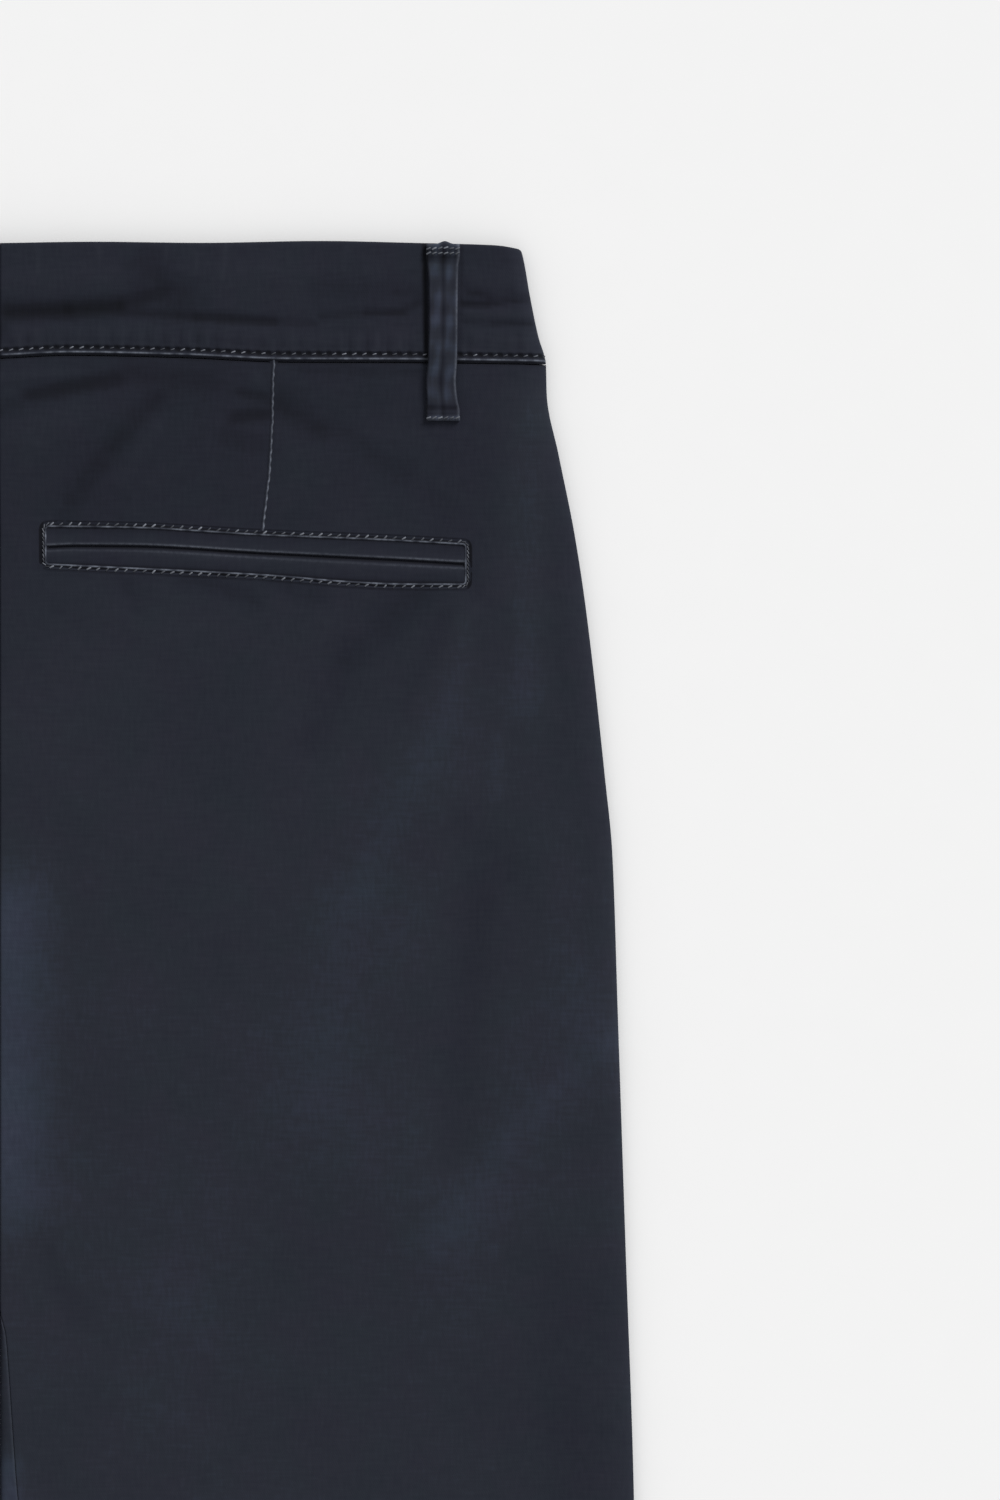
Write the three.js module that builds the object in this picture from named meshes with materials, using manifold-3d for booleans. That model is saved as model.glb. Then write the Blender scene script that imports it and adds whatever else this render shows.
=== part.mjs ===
// Chino trousers laid flat on their front, with the back facing up.
//
// Millimetres. +X points to the wearer's right, +Y to the waist and +Z up, away from the surface that the
// trousers lie on. Depth is measured along the garment, from the top of the waistband down to the hems.
// Every piece of cloth is a closed wall. It is made of sections across the garment, and a section is a
// path of paired points: one on the cloth's outer face and one on its inner face.

import * as THREE from 'three';
import { mergeVertices } from 'three/addons/utils/BufferGeometryUtils.js';
import Module from 'manifold-3d';

// Driving sizes
const LENGTH = 1040;
const CLOTH = 1.2;
const HEM_CLOTH = 2.2;
const HEM_DEPTH = 34;
const SEAM_GAP = 0.3;
const HALF_GAP = SEAM_GAP / 2;
const CROTCH_DEPTH = 372;
const FULL_WRAP_DEPTH = 392;

// Rolled side edges, where the back meets the front half-way up
const SIDE_SEAM_HEIGHT = 3.2;
const INNER_FOLD_HEIGHT = 3.35;
const BACK_ROLL = 9;
const FRONT_ROLL = 5;
const THINNEST = 0.05;

// Waistband
const BAND_WALL = 1.8;
const BAND_PROUD = 0.4;
const BAND_ROLL = 6;
const BAND_FOLD_HEIGHT = 3.55;
const BAND_TAB = 18;
const BAND_UNDERLAP = 15;
const TAB_STEP = { full: 24, none: 38 };

// Belt loops
const LOOP_WALL = 1.5;
const LOOP_WIDTH = 12.4;
const LOOP_BACK = { x: 155, depth: 63, ontoPanel: 2 };
const LOOP_FRONT = { x: 85, above: 0.7, below: 21 };

// Back pocket lips and the slanted front pocket
const LIP_WALL = 1;
const LIP_GAP = 0.34;
const FACING_UNDERLAP = 9.6;
const SLANT = { top: 62, end: 200 };
const FACING_END = 194;
const FACING_DROP = { from: 2, to: 24 };
const FACING_INSET = { from: 146, to: 170, spare: 0.75 };

// Fly: the left front laps over the right one
const FLY_LAP = 6;
const FLY_LAP_END = { from: 188, to: 204 };
const FLY_STEP = { full: 7.5, none: 16 };
const FLY_STEP_END = { from: 206, to: 232 };

// Waist button
const BUTTON = { radius: 8.5, thick: 2.6, rim: 1.6, dish: 0.6, below: 20.5 };
const BUTTON_EDGE = { round: 0.8, bevel: 0.6, slope: 1 };
const BUTTON_HOLE = { radius: 0.9, offset: 1.9 };

const NAVY = '#282b33';
const NAVY_WORN = '#2c3038';
const BUTTON_NAVY = '#20232b';

// Half of the outline, seen from the back
const OUTER_EDGE = [
  { depth: 0.7, x: 177.8 },
  { depth: 2.5, x: 182 },
  { depth: 5.2, x: 183 },
  { depth: 19, x: 185.5 },
  { depth: 33, x: 188.4 },
  { depth: 43, x: 191.1 },
  { depth: 54, x: 191.4 },
  { depth: 75, x: 195.6 },
  { depth: 103, x: 201.2 },
  { depth: 131, x: 205.4 },
  { depth: 187, x: 211.7 },
  { depth: 215, x: 214.4 },
  { depth: 271, x: 216.3 },
  { depth: 355, x: 219.1 },
  { depth: 439, x: 221.9 },
  { depth: 540, x: 223.4 },
  { depth: 700, x: 224.5 },
  { depth: 860, x: 224 },
  { depth: 1040, x: 222.5 },
];

// The leg's inner fold, and the inseam that lies just outside it on the back
const INNER_FOLD = [
  { depth: 445, x: 0.3 },
  { depth: 480, x: 3.5 },
  { depth: 560, x: 15 },
  { depth: 670, x: 29 },
  { depth: 850, x: 41 },
  { depth: 1040, x: 50 },
];
const BACK_INSEAM = [
  { depth: 370, x: 0 },
  { depth: 377, x: 0.9 },
  { depth: 382, x: 2 },
  { depth: 392, x: 2.7 },
  { depth: 414, x: 4.2 },
  { depth: 438, x: 6 },
  { depth: 480, x: 11 },
  { depth: 560, x: 24 },
  { depth: 670, x: 40 },
  { depth: 850, x: 52 },
  { depth: 1040, x: 60 },
];

// Edges of the waistband, as depths across the half garment
const BACK_TOP = [
  { x: 0, depth: 0.9 },
  { x: 35, depth: 0.4 },
  { x: 70, depth: 0.7 },
  { x: 112, depth: 0 },
  { x: 147, depth: 0.7 },
  { x: 172, depth: 1.4 },
  { x: 182, depth: 2.5 },
];
const BACK_SEAM = [
  { x: 0, depth: 41.1 },
  { x: 25, depth: 40 },
  { x: 63, depth: 40.7 },
  { x: 102, depth: 42.3 },
  { x: 140, depth: 42.4 },
  { x: 191, depth: 43 },
];
const FRONT_TOP = [
  { x: 0, depth: 16 },
  { x: 60, depth: 12.5 },
  { x: 130, depth: 5.5 },
  { x: 182, depth: 2.5 },
];
const FRONT_SEAM = [
  { x: 0, depth: 57 },
  { x: 60, depth: 53.5 },
  { x: 130, depth: 46.5 },
  { x: 191, depth: 43 },
];

// Heights of the waistband's two faces above the surface: the button, the lap and the loops lie below it
const BAND_FACES = [
  { x: 0, back: 9, front: 2.9 },
  { x: 20, back: 8.9, front: 2.8 },
  { x: 60, back: 7.8, front: 2.1 },
  { x: 95, back: 7.2, front: 1.95 },
  { x: 125, back: 7, front: 1.2 },
  { x: 150, back: 6.9, front: 1 },
  { x: 182, back: 6.8, front: 0.7 },
];
const BACK_FADE = { from: 60, to: 122 };
const FRONT_FADE = { from: 72, to: 112 };

// Heights of the back's outer face down the leg, near its inner edge, in its middle and at its outer edge
const BACK_FACE = [
  { depth: 90, inner: 5, middle: 4.8, outer: 5.7 },
  { depth: 200, inner: 4.4, middle: 5.2, outer: 5.7 },
  { depth: 320, inner: 4, middle: 5.1, outer: 5.5 },
  { depth: 382, inner: 5, middle: 4.8, outer: 5.4 },
  { depth: 445, inner: 5.3, middle: 4.6, outer: 5.4 },
  { depth: 700, inner: 5.4, middle: 4.4, outer: 5.4 },
  { depth: 960, inner: 5.4, middle: 4.4, outer: 5.4 },
  { depth: 1006, inner: 5.9, middle: 5.3, outer: 5.9 },
  { depth: 1040, inner: 6, middle: 5.5, outer: 6 },
];
const INNER_SLOPE = 0.3;
const OUTER_SLOPE = 0.6;

// The largest soft folds of the back: a ridge rises and a trough sinks
const FOLDS = [
  { side: 'right', x1: 70, depth1: 51, x2: 21, depth2: 97, width: 12, rise: -0.8 },
  { side: 'right', x1: 98, depth1: 58, x2: 147, depth2: 66, width: 10, rise: -0.5 },
  { side: 'right', x1: 185, depth1: 132, x2: 150, depth2: 196, width: 16, rise: 0.7 },
  { side: 'right', x1: 150, depth1: 196, x2: 119, depth2: 318, width: 18, rise: 0.7 },
  { side: 'right', x1: 162, depth1: 240, x2: 161, depth2: 318, width: 11, rise: -0.6 },
  { side: 'right', x1: 210, depth1: 280, x2: 154, depth2: 353, width: 15, rise: 0.7 },
  { side: 'right', x1: 45, depth1: 470, x2: 118, depth2: 540, width: 16, rise: 0.7 },
  { side: 'right', x1: 190, depth1: 600, x2: 118, depth2: 655, width: 18, rise: 0.8 },
  { side: 'right', x1: 75, depth1: 700, x2: 150, depth2: 735, width: 16, rise: -0.6 },
  { side: 'right', x1: 192, depth1: 840, x2: 112, depth2: 890, width: 18, rise: 0.7 },
  { side: 'left', x1: 62, depth1: 54, x2: 26, depth2: 92, width: 11, rise: -0.7 },
  { side: 'left', x1: 110, depth1: 62, x2: 152, depth2: 72, width: 10, rise: -0.5 },
  { side: 'left', x1: 180, depth1: 150, x2: 138, depth2: 236, width: 17, rise: 0.7 },
  { side: 'left', x1: 138, depth1: 236, x2: 120, depth2: 330, width: 17, rise: 0.6 },
  { side: 'left', x1: 205, depth1: 300, x2: 150, depth2: 372, width: 15, rise: 0.7 },
  { side: 'left', x1: 52, depth1: 500, x2: 128, depth2: 556, width: 17, rise: 0.7 },
  { side: 'left', x1: 188, depth1: 636, x2: 124, depth2: 700, width: 18, rise: 0.8 },
  { side: 'left', x1: 80, depth1: 760, x2: 146, depth2: 786, width: 16, rise: -0.6 },
  { side: 'left', x1: 190, depth1: 872, x2: 118, depth2: 930, width: 18, rise: 0.7 },
];
const FOLD_FADE = { from: 44, to: 62 };

// Back pocket: the upper lip lies between the top and the slit, the lower one between the slit and the bottom
const BACK_POCKET = [
  { x: 16.1, top: 100, slit: 107.2, bottom: 112.9 },
  { x: 26, top: 100.1, slit: 106.8, bottom: 113.4 },
  { x: 45, top: 100.4, slit: 106.9, bottom: 114.3 },
  { x: 93.8, top: 103.1, slit: 109.5, bottom: 116.8 },
  { x: 122, top: 104.2, slit: 110.9, bottom: 119.1 },
  { x: 140, top: 105, slit: 111.8, bottom: 119.9 },
  { x: 162.8, top: 106.3, slit: 113.1, bottom: 120 },
];
const SLIT_GAP = 0.5;
const LIP_CROWN = 0.35;

// How far a back belt loop stands off the cloth, from its top to its bottom
const LOOP_STAND = [
  { share: 0, stand: 0.4 },
  { share: 0.3, stand: 1 },
  { share: 0.66, stand: 1.1 },
  { share: 1, stand: 0.4 },
];

// Depths of the sections of the panels
const SECTIONS = [
  43.3, 54, 66, 78, 90, 103, 118, 136, 158, 180, 205, 232, 260, 290, 320, 348, 368,
  376, 381, 386, 392, 405, 424, 450, 485, 530, 590, 660, 740, 820, 900, 960, 1005, 1007, LENGTH,
];
const SEAM_WARP_END = 108;
const ROLL_STEPS = 8;
const FLAT_STEP = 6;

const SIDES = [
  { name: 'right', sign: 1 },
  { name: 'left', sign: -1 },
];

const smooth = (from, to, value) => THREE.MathUtils.smoothstep(value, from, to);
const mix = THREE.MathUtils.lerp;
const yOf = (depth) => LENGTH / 2 - depth;

// A smooth value between the rows of a table, which rise in the column named by key
function along(table, key, at, column) {
  const last = table.length - 1;
  if (at <= table[0][key]) return table[0][column];
  if (at >= table[last][key]) return table[last][column];
  const i = table.findIndex((row) => row[key] > at) - 1;
  const slope = (j) => (table[j + 1][column] - table[j][column]) / (table[j + 1][key] - table[j][key]);
  const tangent = (j) => {
    if (j === 0) return slope(0);
    if (j === last) return slope(last - 1);
    const before = slope(j - 1);
    const after = slope(j);
    return before * after <= 0 ? 0 : (2 * before * after) / (before + after);
  };
  const span = table[i + 1][key] - table[i][key];
  const t = (at - table[i][key]) / span;
  const s = 1 - t;
  const level = s * s * (1 + 2 * t) * table[i][column] + t * t * (3 - 2 * t) * table[i + 1][column];
  return level + span * (t * s * s * tangent(i) - t * t * s * tangent(i + 1));
}

const outerEdge = (depth) => along(OUTER_EDGE, 'depth', depth, 'x');
const innerFold = (depth) => along(INNER_FOLD, 'depth', depth, 'x');
const backInseam = (depth) => along(BACK_INSEAM, 'depth', depth, 'x');
const HEM_START = LENGTH - HEM_DEPTH;
const clothAt = (depth) => mix(CLOTH, HEM_CLOTH, smooth(HEM_START - 1, HEM_START + 1, depth));

// Height that the folds add at a point of the back
function foldRise(side, x, depth) {
  let rise = 0;
  for (const fold of FOLDS.filter((row) => row.side === side.name)) {
    const runX = fold.x2 - fold.x1;
    const runDepth = fold.depth2 - fold.depth1;
    const nearest = ((x - fold.x1) * runX + (depth - fold.depth1) * runDepth) / (runX ** 2 + runDepth ** 2);
    const t = THREE.MathUtils.clamp(nearest, 0, 1);
    const away = Math.hypot(x - fold.x1 - t * runX, depth - fold.depth1 - t * runDepth);
    rise += fold.rise * Math.exp(-((away / fold.width) ** 2));
  }
  return rise * smooth(FOLD_FADE.from, FOLD_FADE.to, depth);
}

// Height of the back's outer face above the surface
function backFace(side, x, depth) {
  const from = backInseam(depth);
  const to = outerEdge(depth) - BACK_ROLL;
  const across = THREE.MathUtils.clamp((x - from) / (to - from), 0, 1);
  const height = (column) => along(BACK_FACE, 'depth', depth, column);
  const towardsInner = (height('inner') - height('middle')) * (1 - smooth(0, INNER_SLOPE, across));
  const towardsOuter = (height('outer') - height('middle')) * smooth(OUTER_SLOPE, 1, across);
  const leg = height('middle') + towardsInner + towardsOuter;
  const waist = along(BAND_FACES, 'x', x, 'back') - BAND_PROUD;
  return mix(waist, leg, smooth(BACK_FADE.from, BACK_FADE.to, depth)) + foldRise(side, x, depth);
}

// Height of the front's outer face, which lies on the surface below the waist
function frontFace(side, x, depth) {
  const away = Math.abs(x);
  const lift = along(BAND_FACES, 'x', away, 'front') + BAND_PROUD;
  const lifted = lift * (1 - smooth(FRONT_FADE.from, FRONT_FADE.to, depth));
  if (side.name === 'left') return lifted;
  const step = 1 - smooth(FLY_STEP.full, FLY_STEP.none, away);
  const stepEnd = 1 - smooth(FLY_STEP_END.from, FLY_STEP_END.to, depth);
  return lifted + (CLOTH + SEAM_GAP) * step * stepEnd;
}

// A path across the garment: paired points, and marks where its stretches end
class Path {
  constructor() {
    this.pairs = [];
    this.marks = [0];
  }

  add(outerX, outerZ, innerX, innerZ) {
    const before = this.pairs.at(-1);
    const walked = before ? before.at + Math.hypot(outerX - before.outerX, outerZ - before.outerZ) : 0;
    this.pairs.push({ outerX, outerZ, innerX, innerZ, at: walked });
  }

  // A stretch on a face given by its height, with the cloth above it or below it
  flat(fromX, toX, face, wall) {
    const steps = Math.max(1, Math.ceil(Math.abs(toX - fromX) / FLAT_STEP));
    for (let i = 0; i <= steps; i += 1) {
      const x = mix(fromX, toX, i / steps);
      const z = face(x);
      this.add(x, z, x, z + wall);
    }
    return this.mark();
  }

  // A quarter of an ellipse about a centre, from one angle to another
  turn(centre, reach, wall, fromAngle, toAngle) {
    const shrink = (value) => Math.sign(value) * Math.max(Math.abs(value) - wall, THINNEST);
    for (let i = 0; i <= ROLL_STEPS; i += 1) {
      const angle = mix(fromAngle, toAngle, i / ROLL_STEPS);
      const c = Math.cos(angle);
      const s = Math.sin(angle);
      const outerX = centre.x + reach.x * c;
      const outerZ = centre.z + reach.z * s;
      this.add(outerX, outerZ, centre.x + shrink(reach.x) * c, centre.z + shrink(reach.z) * s);
    }
    return this.mark();
  }

  mark() {
    this.marks.push(this.pairs.at(-1).at);
    return this;
  }

  get length() {
    return this.pairs.at(-1).at;
  }

  // The pair at a length along the path
  pick(at) {
    const i = Math.max(1, this.pairs.findIndex((pair) => pair.at >= at - 1e-9));
    const before = this.pairs[i - 1];
    const after = this.pairs[i];
    const t = THREE.MathUtils.clamp((at - before.at) / Math.max(after.at - before.at, 1e-9), 0, 1);
    return {
      outer: [mix(before.outerX, after.outerX, t), mix(before.outerZ, after.outerZ, t)],
      inner: [mix(before.innerX, after.innerX, t), mix(before.innerZ, after.innerZ, t)],
    };
  }
}

// Stations along a path, spread over stretches that each have a number of steps
function stations(ends, steps) {
  const places = [ends[0]];
  steps.forEach((count, k) => {
    for (let i = 1; i <= count; i += 1) places.push(mix(ends[k], ends[k + 1], i / count));
  });
  return places;
}

const QUARTER = Math.PI / 2;

function backPath(side, depth) {
  const wall = clothAt(depth);
  const rollX = outerEdge(depth) - BACK_ROLL;
  const centre = { x: rollX, z: SIDE_SEAM_HEIGHT + SEAM_GAP };
  const face = (x) => backFace(side, x, depth);
  return new Path()
    .flat(backInseam(depth) + HALF_GAP, rollX, face, -wall)
    .turn(centre, { x: BACK_ROLL, z: face(rollX) - centre.z }, wall, QUARTER, 0);
}

const CENTRE_STRIP = 14;
const BACK_STEPS = [2, 9, 3];

function backStations(path) {
  return stations([0, CENTRE_STRIP, path.marks[1], path.length], BACK_STEPS);
}

// The inner edge of a front above the crotch. The left one laps over the right one at the fly.
function frontEdge(side, depth) {
  if (side.name === 'right') return HALF_GAP;
  return mix(-FLY_LAP, HALF_GAP, smooth(FLY_LAP_END.from, FLY_LAP_END.to, depth));
}

// Below the crotch the front starts on the back face at the inseam and turns round the leg's inner fold
const TOP_REACH_SHARE = 0.85;
const LOW_REACH = { start: 1.4, settled: 412 };

function frontPath(side, depth) {
  const path = new Path();
  const wall = clothAt(depth);
  let flatFrom = frontEdge(side, depth);
  if (depth > CROTCH_DEPTH) {
    const fold = innerFold(depth);
    const seam = backInseam(depth) - HALF_GAP;
    const topReach = Math.min(FRONT_ROLL, (seam - fold) * TOP_REACH_SHARE);
    const lowReach = mix(LOW_REACH.start, FRONT_ROLL, smooth(CROTCH_DEPTH, LOW_REACH.settled, depth));
    const face = (x) => backFace(side, x, depth);
    const top = { x: fold + topReach, z: INNER_FOLD_HEIGHT };
    const low = { x: fold + lowReach, z: INNER_FOLD_HEIGHT };
    path.flat(seam, top.x, face, -wall);
    path.turn(top, { x: -topReach, z: face(top.x) - top.z }, wall, QUARTER, 0);
    path.turn(low, { x: -lowReach, z: -INNER_FOLD_HEIGHT }, wall, 0, QUARTER);
    flatFrom = low.x;
  }
  const centre = { x: outerEdge(depth) - FRONT_ROLL, z: SIDE_SEAM_HEIGHT };
  const face = (x) => frontFace(side, x, depth);
  path.flat(flatFrom, centre.x, face, wall);
  path.turn(centre, { x: FRONT_ROLL, z: face(centre.x) - centre.z }, wall, QUARTER, 0);
  return path;
}

// How far the slanted pocket edge lies from the side seam
function slantInset(depth) {
  return SLANT.top * THREE.MathUtils.clamp((SLANT.end - depth) / (SLANT.end - SECTIONS[0]), 0, 1);
}

const FRONT_STEPS = [3, 2, 7, 3];
const FOLD_STRIP = 5.6;
const PAST_FOLD = 0.6;

function frontStations(path, depth) {
  const wrapped = path.marks.length > 3;
  const full = path.marks[3] ?? 0;
  const cut = wrapped ? full * (1 - smooth(CROTCH_DEPTH, FULL_WRAP_DEPTH, depth)) : 0;
  const toFold = wrapped ? path.marks[2] - cut : 0;
  const toFloor = wrapped ? full - cut : 0;
  const first = cut + Math.max(toFold, FOLD_STRIP);
  const second = Math.max(first + FOLD_STRIP, cut + toFloor + PAST_FOLD);
  const end = path.length - slantInset(depth);
  const flatEnd = Math.min(path.marks.at(-2), end - FRONT_ROLL);
  return stations([cut, first, second, flatEnd, end], FRONT_STEPS);
}

// The facing lies behind the slanted edge, then comes down beside it and meets the side seam
const FACING_STEPS = [2, 4, 2];

function facingPath(side, depth) {
  const low = smooth(FACING_INSET.from, FACING_INSET.to, depth);
  const behind = CLOTH + SEAM_GAP + FACING_INSET.spare * low;
  const slantX = outerEdge(depth) - slantInset(depth);
  const reach = FRONT_ROLL - behind * low;
  const centre = { x: outerEdge(depth) - FRONT_ROLL, z: SIDE_SEAM_HEIGHT };
  const level = (x) => {
    const drop = smooth(FACING_DROP.from, FACING_DROP.to, x - slantX);
    return frontFace(side, x, depth) + behind * (1 - drop);
  };
  return new Path()
    .flat(slantX - FACING_UNDERLAP, centre.x, level, CLOTH)
    .turn(centre, { x: reach, z: level(centre.x) - centre.z }, CLOTH, QUARTER, 0);
}

function facingStations(path) {
  const firstEnd = Math.min(FACING_UNDERLAP, path.marks[1] / 2);
  return stations([0, firstEnd, path.marks[1], path.length], FACING_STEPS);
}

// Rows of paired points of a panel. The first rows follow the seam under the waistband.
function panelRows(side, pathAt, stationsAt, depths, seam) {
  return depths.map((nominal) => {
    const count = stationsAt(pathAt(side, nominal), nominal).length;
    const row = [];
    for (let i = 0; i < count; i += 1) {
      const guess = pathAt(side, nominal);
      const x = Math.abs(guess.pick(stationsAt(guess, nominal)[i]).outer[0]);
      const shift = along(seam, 'x', x, 'depth') + SEAM_GAP - SECTIONS[0];
      const depth = nominal + shift * (1 - smooth(SECTIONS[0], SEAM_WARP_END, nominal));
      const path = pathAt(side, depth);
      const pair = path.pick(stationsAt(path, depth)[i]);
      row.push(placed(side, pair, depth));
    }
    return row;
  });
}

// A pair of points in space, mirrored for the left side
function placed(side, pair, depth) {
  return {
    outer: [side.sign * pair.outer[0], yOf(depth), pair.outer[1]],
    inner: [side.sign * pair.inner[0], yOf(depth), pair.inner[1]],
  };
}

// A closed wall between the outer and the inner points of the rows
function wallOf(rows) {
  const across = rows[0].length;
  const outer = (i, j) => 2 * (i * across + j);
  const inner = (i, j) => outer(i, j) + 1;
  const positions = rows.flat().flatMap((pair) => [...pair.outer, ...pair.inner]);
  const index = [];
  const quad = (a, b, c, d) => index.push(a, b, c, a, c, d);
  for (let i = 0; i + 1 < rows.length; i += 1) {
    for (let j = 0; j + 1 < across; j += 1) {
      quad(outer(i, j), outer(i + 1, j), outer(i + 1, j + 1), outer(i, j + 1));
      quad(inner(i, j), inner(i, j + 1), inner(i + 1, j + 1), inner(i + 1, j));
    }
    quad(outer(i, 0), inner(i, 0), inner(i + 1, 0), outer(i + 1, 0));
    quad(outer(i, across - 1), outer(i + 1, across - 1), inner(i + 1, across - 1), inner(i, across - 1));
  }
  const last = rows.length - 1;
  for (let j = 0; j + 1 < across; j += 1) {
    quad(outer(0, j), outer(0, j + 1), inner(0, j + 1), inner(0, j));
    quad(outer(last, j), inner(last, j), inner(last, j + 1), outer(last, j + 1));
  }
  if (signedVolume(positions, index) < 0) index.reverse();
  const geometry = new THREE.BufferGeometry();
  geometry.setAttribute('position', new THREE.Float32BufferAttribute(positions, 3));
  geometry.setIndex(index);
  geometry.computeVertexNormals();
  return geometry;
}

function signedVolume(positions, index) {
  const point = (i) => new THREE.Vector3().fromArray(positions, 3 * index[i]);
  let volume = 0;
  for (let i = 0; i < index.length; i += 3) volume += point(i).dot(point(i + 1).cross(point(i + 2)));
  return volume;
}

// Rows of points of one half of the waistband: round from the centre back over the side to the centre front
const BAND_STEPS = [9, 3, 3, 6, 5];
const BAND_LINES = [0, 0.33, 0.67, 1];

function bandPath(side, depth) {
  const frontEnd = side.name === 'left' ? -BAND_TAB : -BAND_UNDERLAP;
  const rollX = outerEdge(depth) - BAND_ROLL;
  const centre = { x: rollX, z: BAND_FOLD_HEIGHT };
  const backLevel = (x) => along(BAND_FACES, 'x', x, 'back');
  const frontLevel = (x) => {
    const step = side.name === 'right' ? 1 - smooth(TAB_STEP.full, TAB_STEP.none, x) : 0;
    return along(BAND_FACES, 'x', Math.abs(x), 'front') + (BAND_WALL + SEAM_GAP) * step;
  };
  return new Path()
    .flat(HALF_GAP, rollX, backLevel, -BAND_WALL)
    .turn(centre, { x: BAND_ROLL, z: backLevel(rollX) - centre.z }, BAND_WALL, QUARTER, 0)
    .turn(centre, { x: BAND_ROLL, z: frontLevel(rollX) - centre.z }, BAND_WALL, 0, QUARTER)
    .flat(rollX, TAB_STEP.none, frontLevel, BAND_WALL)
    .flat(TAB_STEP.none, frontEnd, frontLevel, BAND_WALL);
}

function bandRows(side) {
  const backSteps = BAND_STEPS[0] + BAND_STEPS[1];
  return BAND_LINES.map((share) => {
    const middle = bandPath(side, mix(BACK_TOP[0].depth, BACK_SEAM[0].depth, share));
    return stations(middle.marks, BAND_STEPS).map((at, i) => {
      const x = Math.abs(middle.pick(at).outer[0]);
      const [top, seam] = i <= backSteps ? [BACK_TOP, BACK_SEAM] : [FRONT_TOP, FRONT_SEAM];
      const depth = mix(along(top, 'x', x, 'depth'), along(seam, 'x', x, 'depth'), share);
      const path = bandPath(side, depth);
      return placed(side, path.pick(stations(path.marks, BAND_STEPS)[i]), depth);
    });
  });
}

// Height of a panel's outer face at a place, read from the triangles between its rows
function heightOn(rows, x, y) {
  const triangle = new THREE.Triangle();
  const here = new THREE.Vector3(x, y, 0);
  const weights = new THREE.Vector3();
  const flat = (point) => new THREE.Vector3(point[0], point[1], 0);
  for (let i = 0; i + 1 < rows.length; i += 1) {
    for (let j = 0; j + 1 < rows[0].length; j += 1) {
      const [a, b] = [rows[i][j].outer, rows[i + 1][j].outer];
      const [c, d] = [rows[i + 1][j + 1].outer, rows[i][j + 1].outer];
      for (const corners of [[a, b, c], [a, c, d]]) {
        triangle.set(...corners.map(flat));
        if (triangle.getBarycoord(here, weights) && Math.min(...weights.toArray()) >= -1e-6) {
          return corners[0][2] * weights.x + corners[1][2] * weights.y + corners[2][2] * weights.z;
        }
      }
    }
  }
  throw new Error(`no cloth at ${x}, ${y}`);
}

// One lip of a back pocket, moved out from the panel that it lies on
const LIP_STEPS = 12;
const LIP_LINES = [
  { share: 0, crown: 0 },
  { share: 0.35, crown: 1 },
  { share: 0.7, crown: 1 },
  { share: 1, crown: 0 },
];

function lipRows(side, panel, upper) {
  return LIP_LINES.map((line) => {
    const row = [];
    for (let i = 0; i <= LIP_STEPS; i += 1) {
      const x = mix(BACK_POCKET[0].x, BACK_POCKET.at(-1).x, i / LIP_STEPS);
      const slit = along(BACK_POCKET, 'x', x, 'slit');
      const from = upper ? along(BACK_POCKET, 'x', x, 'top') : slit + SLIT_GAP / 2;
      const to = upper ? slit - SLIT_GAP / 2 : along(BACK_POCKET, 'x', x, 'bottom');
      const depth = mix(from, to, line.share);
      const z = heightOn(panel, side.sign * x, yOf(depth)) + LIP_GAP;
      row.push(placed(side, { outer: [x, z + LIP_WALL + LIP_CROWN * line.crown], inner: [x, z] }, depth));
    }
    return row;
  });
}

// A belt loop sewn down on the back: it stands off the band and comes down on the panel
const LOOP_STEPS = 12;
const LOOP_ACROSS = 3;

function backLoopRows(side, panel) {
  const rows = [];
  for (let i = 0; i <= LOOP_STEPS; i += 1) {
    const share = i / LOOP_STEPS;
    const depth = mix(0, LOOP_BACK.depth, share);
    const stand = along(LOOP_STAND, 'share', share, 'stand');
    const row = [];
    for (let j = 0; j <= LOOP_ACROSS; j += 1) {
      const x = LOOP_BACK.x + LOOP_WIDTH * (j / LOOP_ACROSS - 0.5);
      const onPanel = depth > along(BACK_SEAM, 'x', x, 'depth') + LOOP_BACK.ontoPanel;
      const bandFace = along(BAND_FACES, 'x', x, 'back');
      const z = stand + (onPanel ? heightOn(panel, side.sign * x, yOf(depth)) : bandFace);
      row.push(placed(side, { outer: [x, z + LOOP_WALL], inner: [x, z] }, depth));
    }
    rows.push(row);
  }
  return rows;
}

// A belt loop on the face that lies down: the trousers' weight presses it flat
const FRONT_LOOP_LINES = [0, 0.25, 0.5, 0.75, 1];

function frontLoopRows(side) {
  const top = along(FRONT_TOP, 'x', LOOP_FRONT.x, 'depth') - LOOP_FRONT.above;
  const bottom = along(FRONT_SEAM, 'x', LOOP_FRONT.x, 'depth') + LOOP_FRONT.below;
  return FRONT_LOOP_LINES.map((share) => {
    const row = [];
    for (let j = 0; j <= LOOP_ACROSS; j += 1) {
      const x = LOOP_FRONT.x + LOOP_WIDTH * (j / LOOP_ACROSS - 0.5);
      row.push(placed(side, { outer: [x, 0], inner: [x, LOOP_WALL] }, mix(top, bottom, share)));
    }
    return row;
  });
}

// The waist button: a dished disc with four holes
const BUTTON_SIDES = 36;
const HOLE_SIDES = 10;

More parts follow.
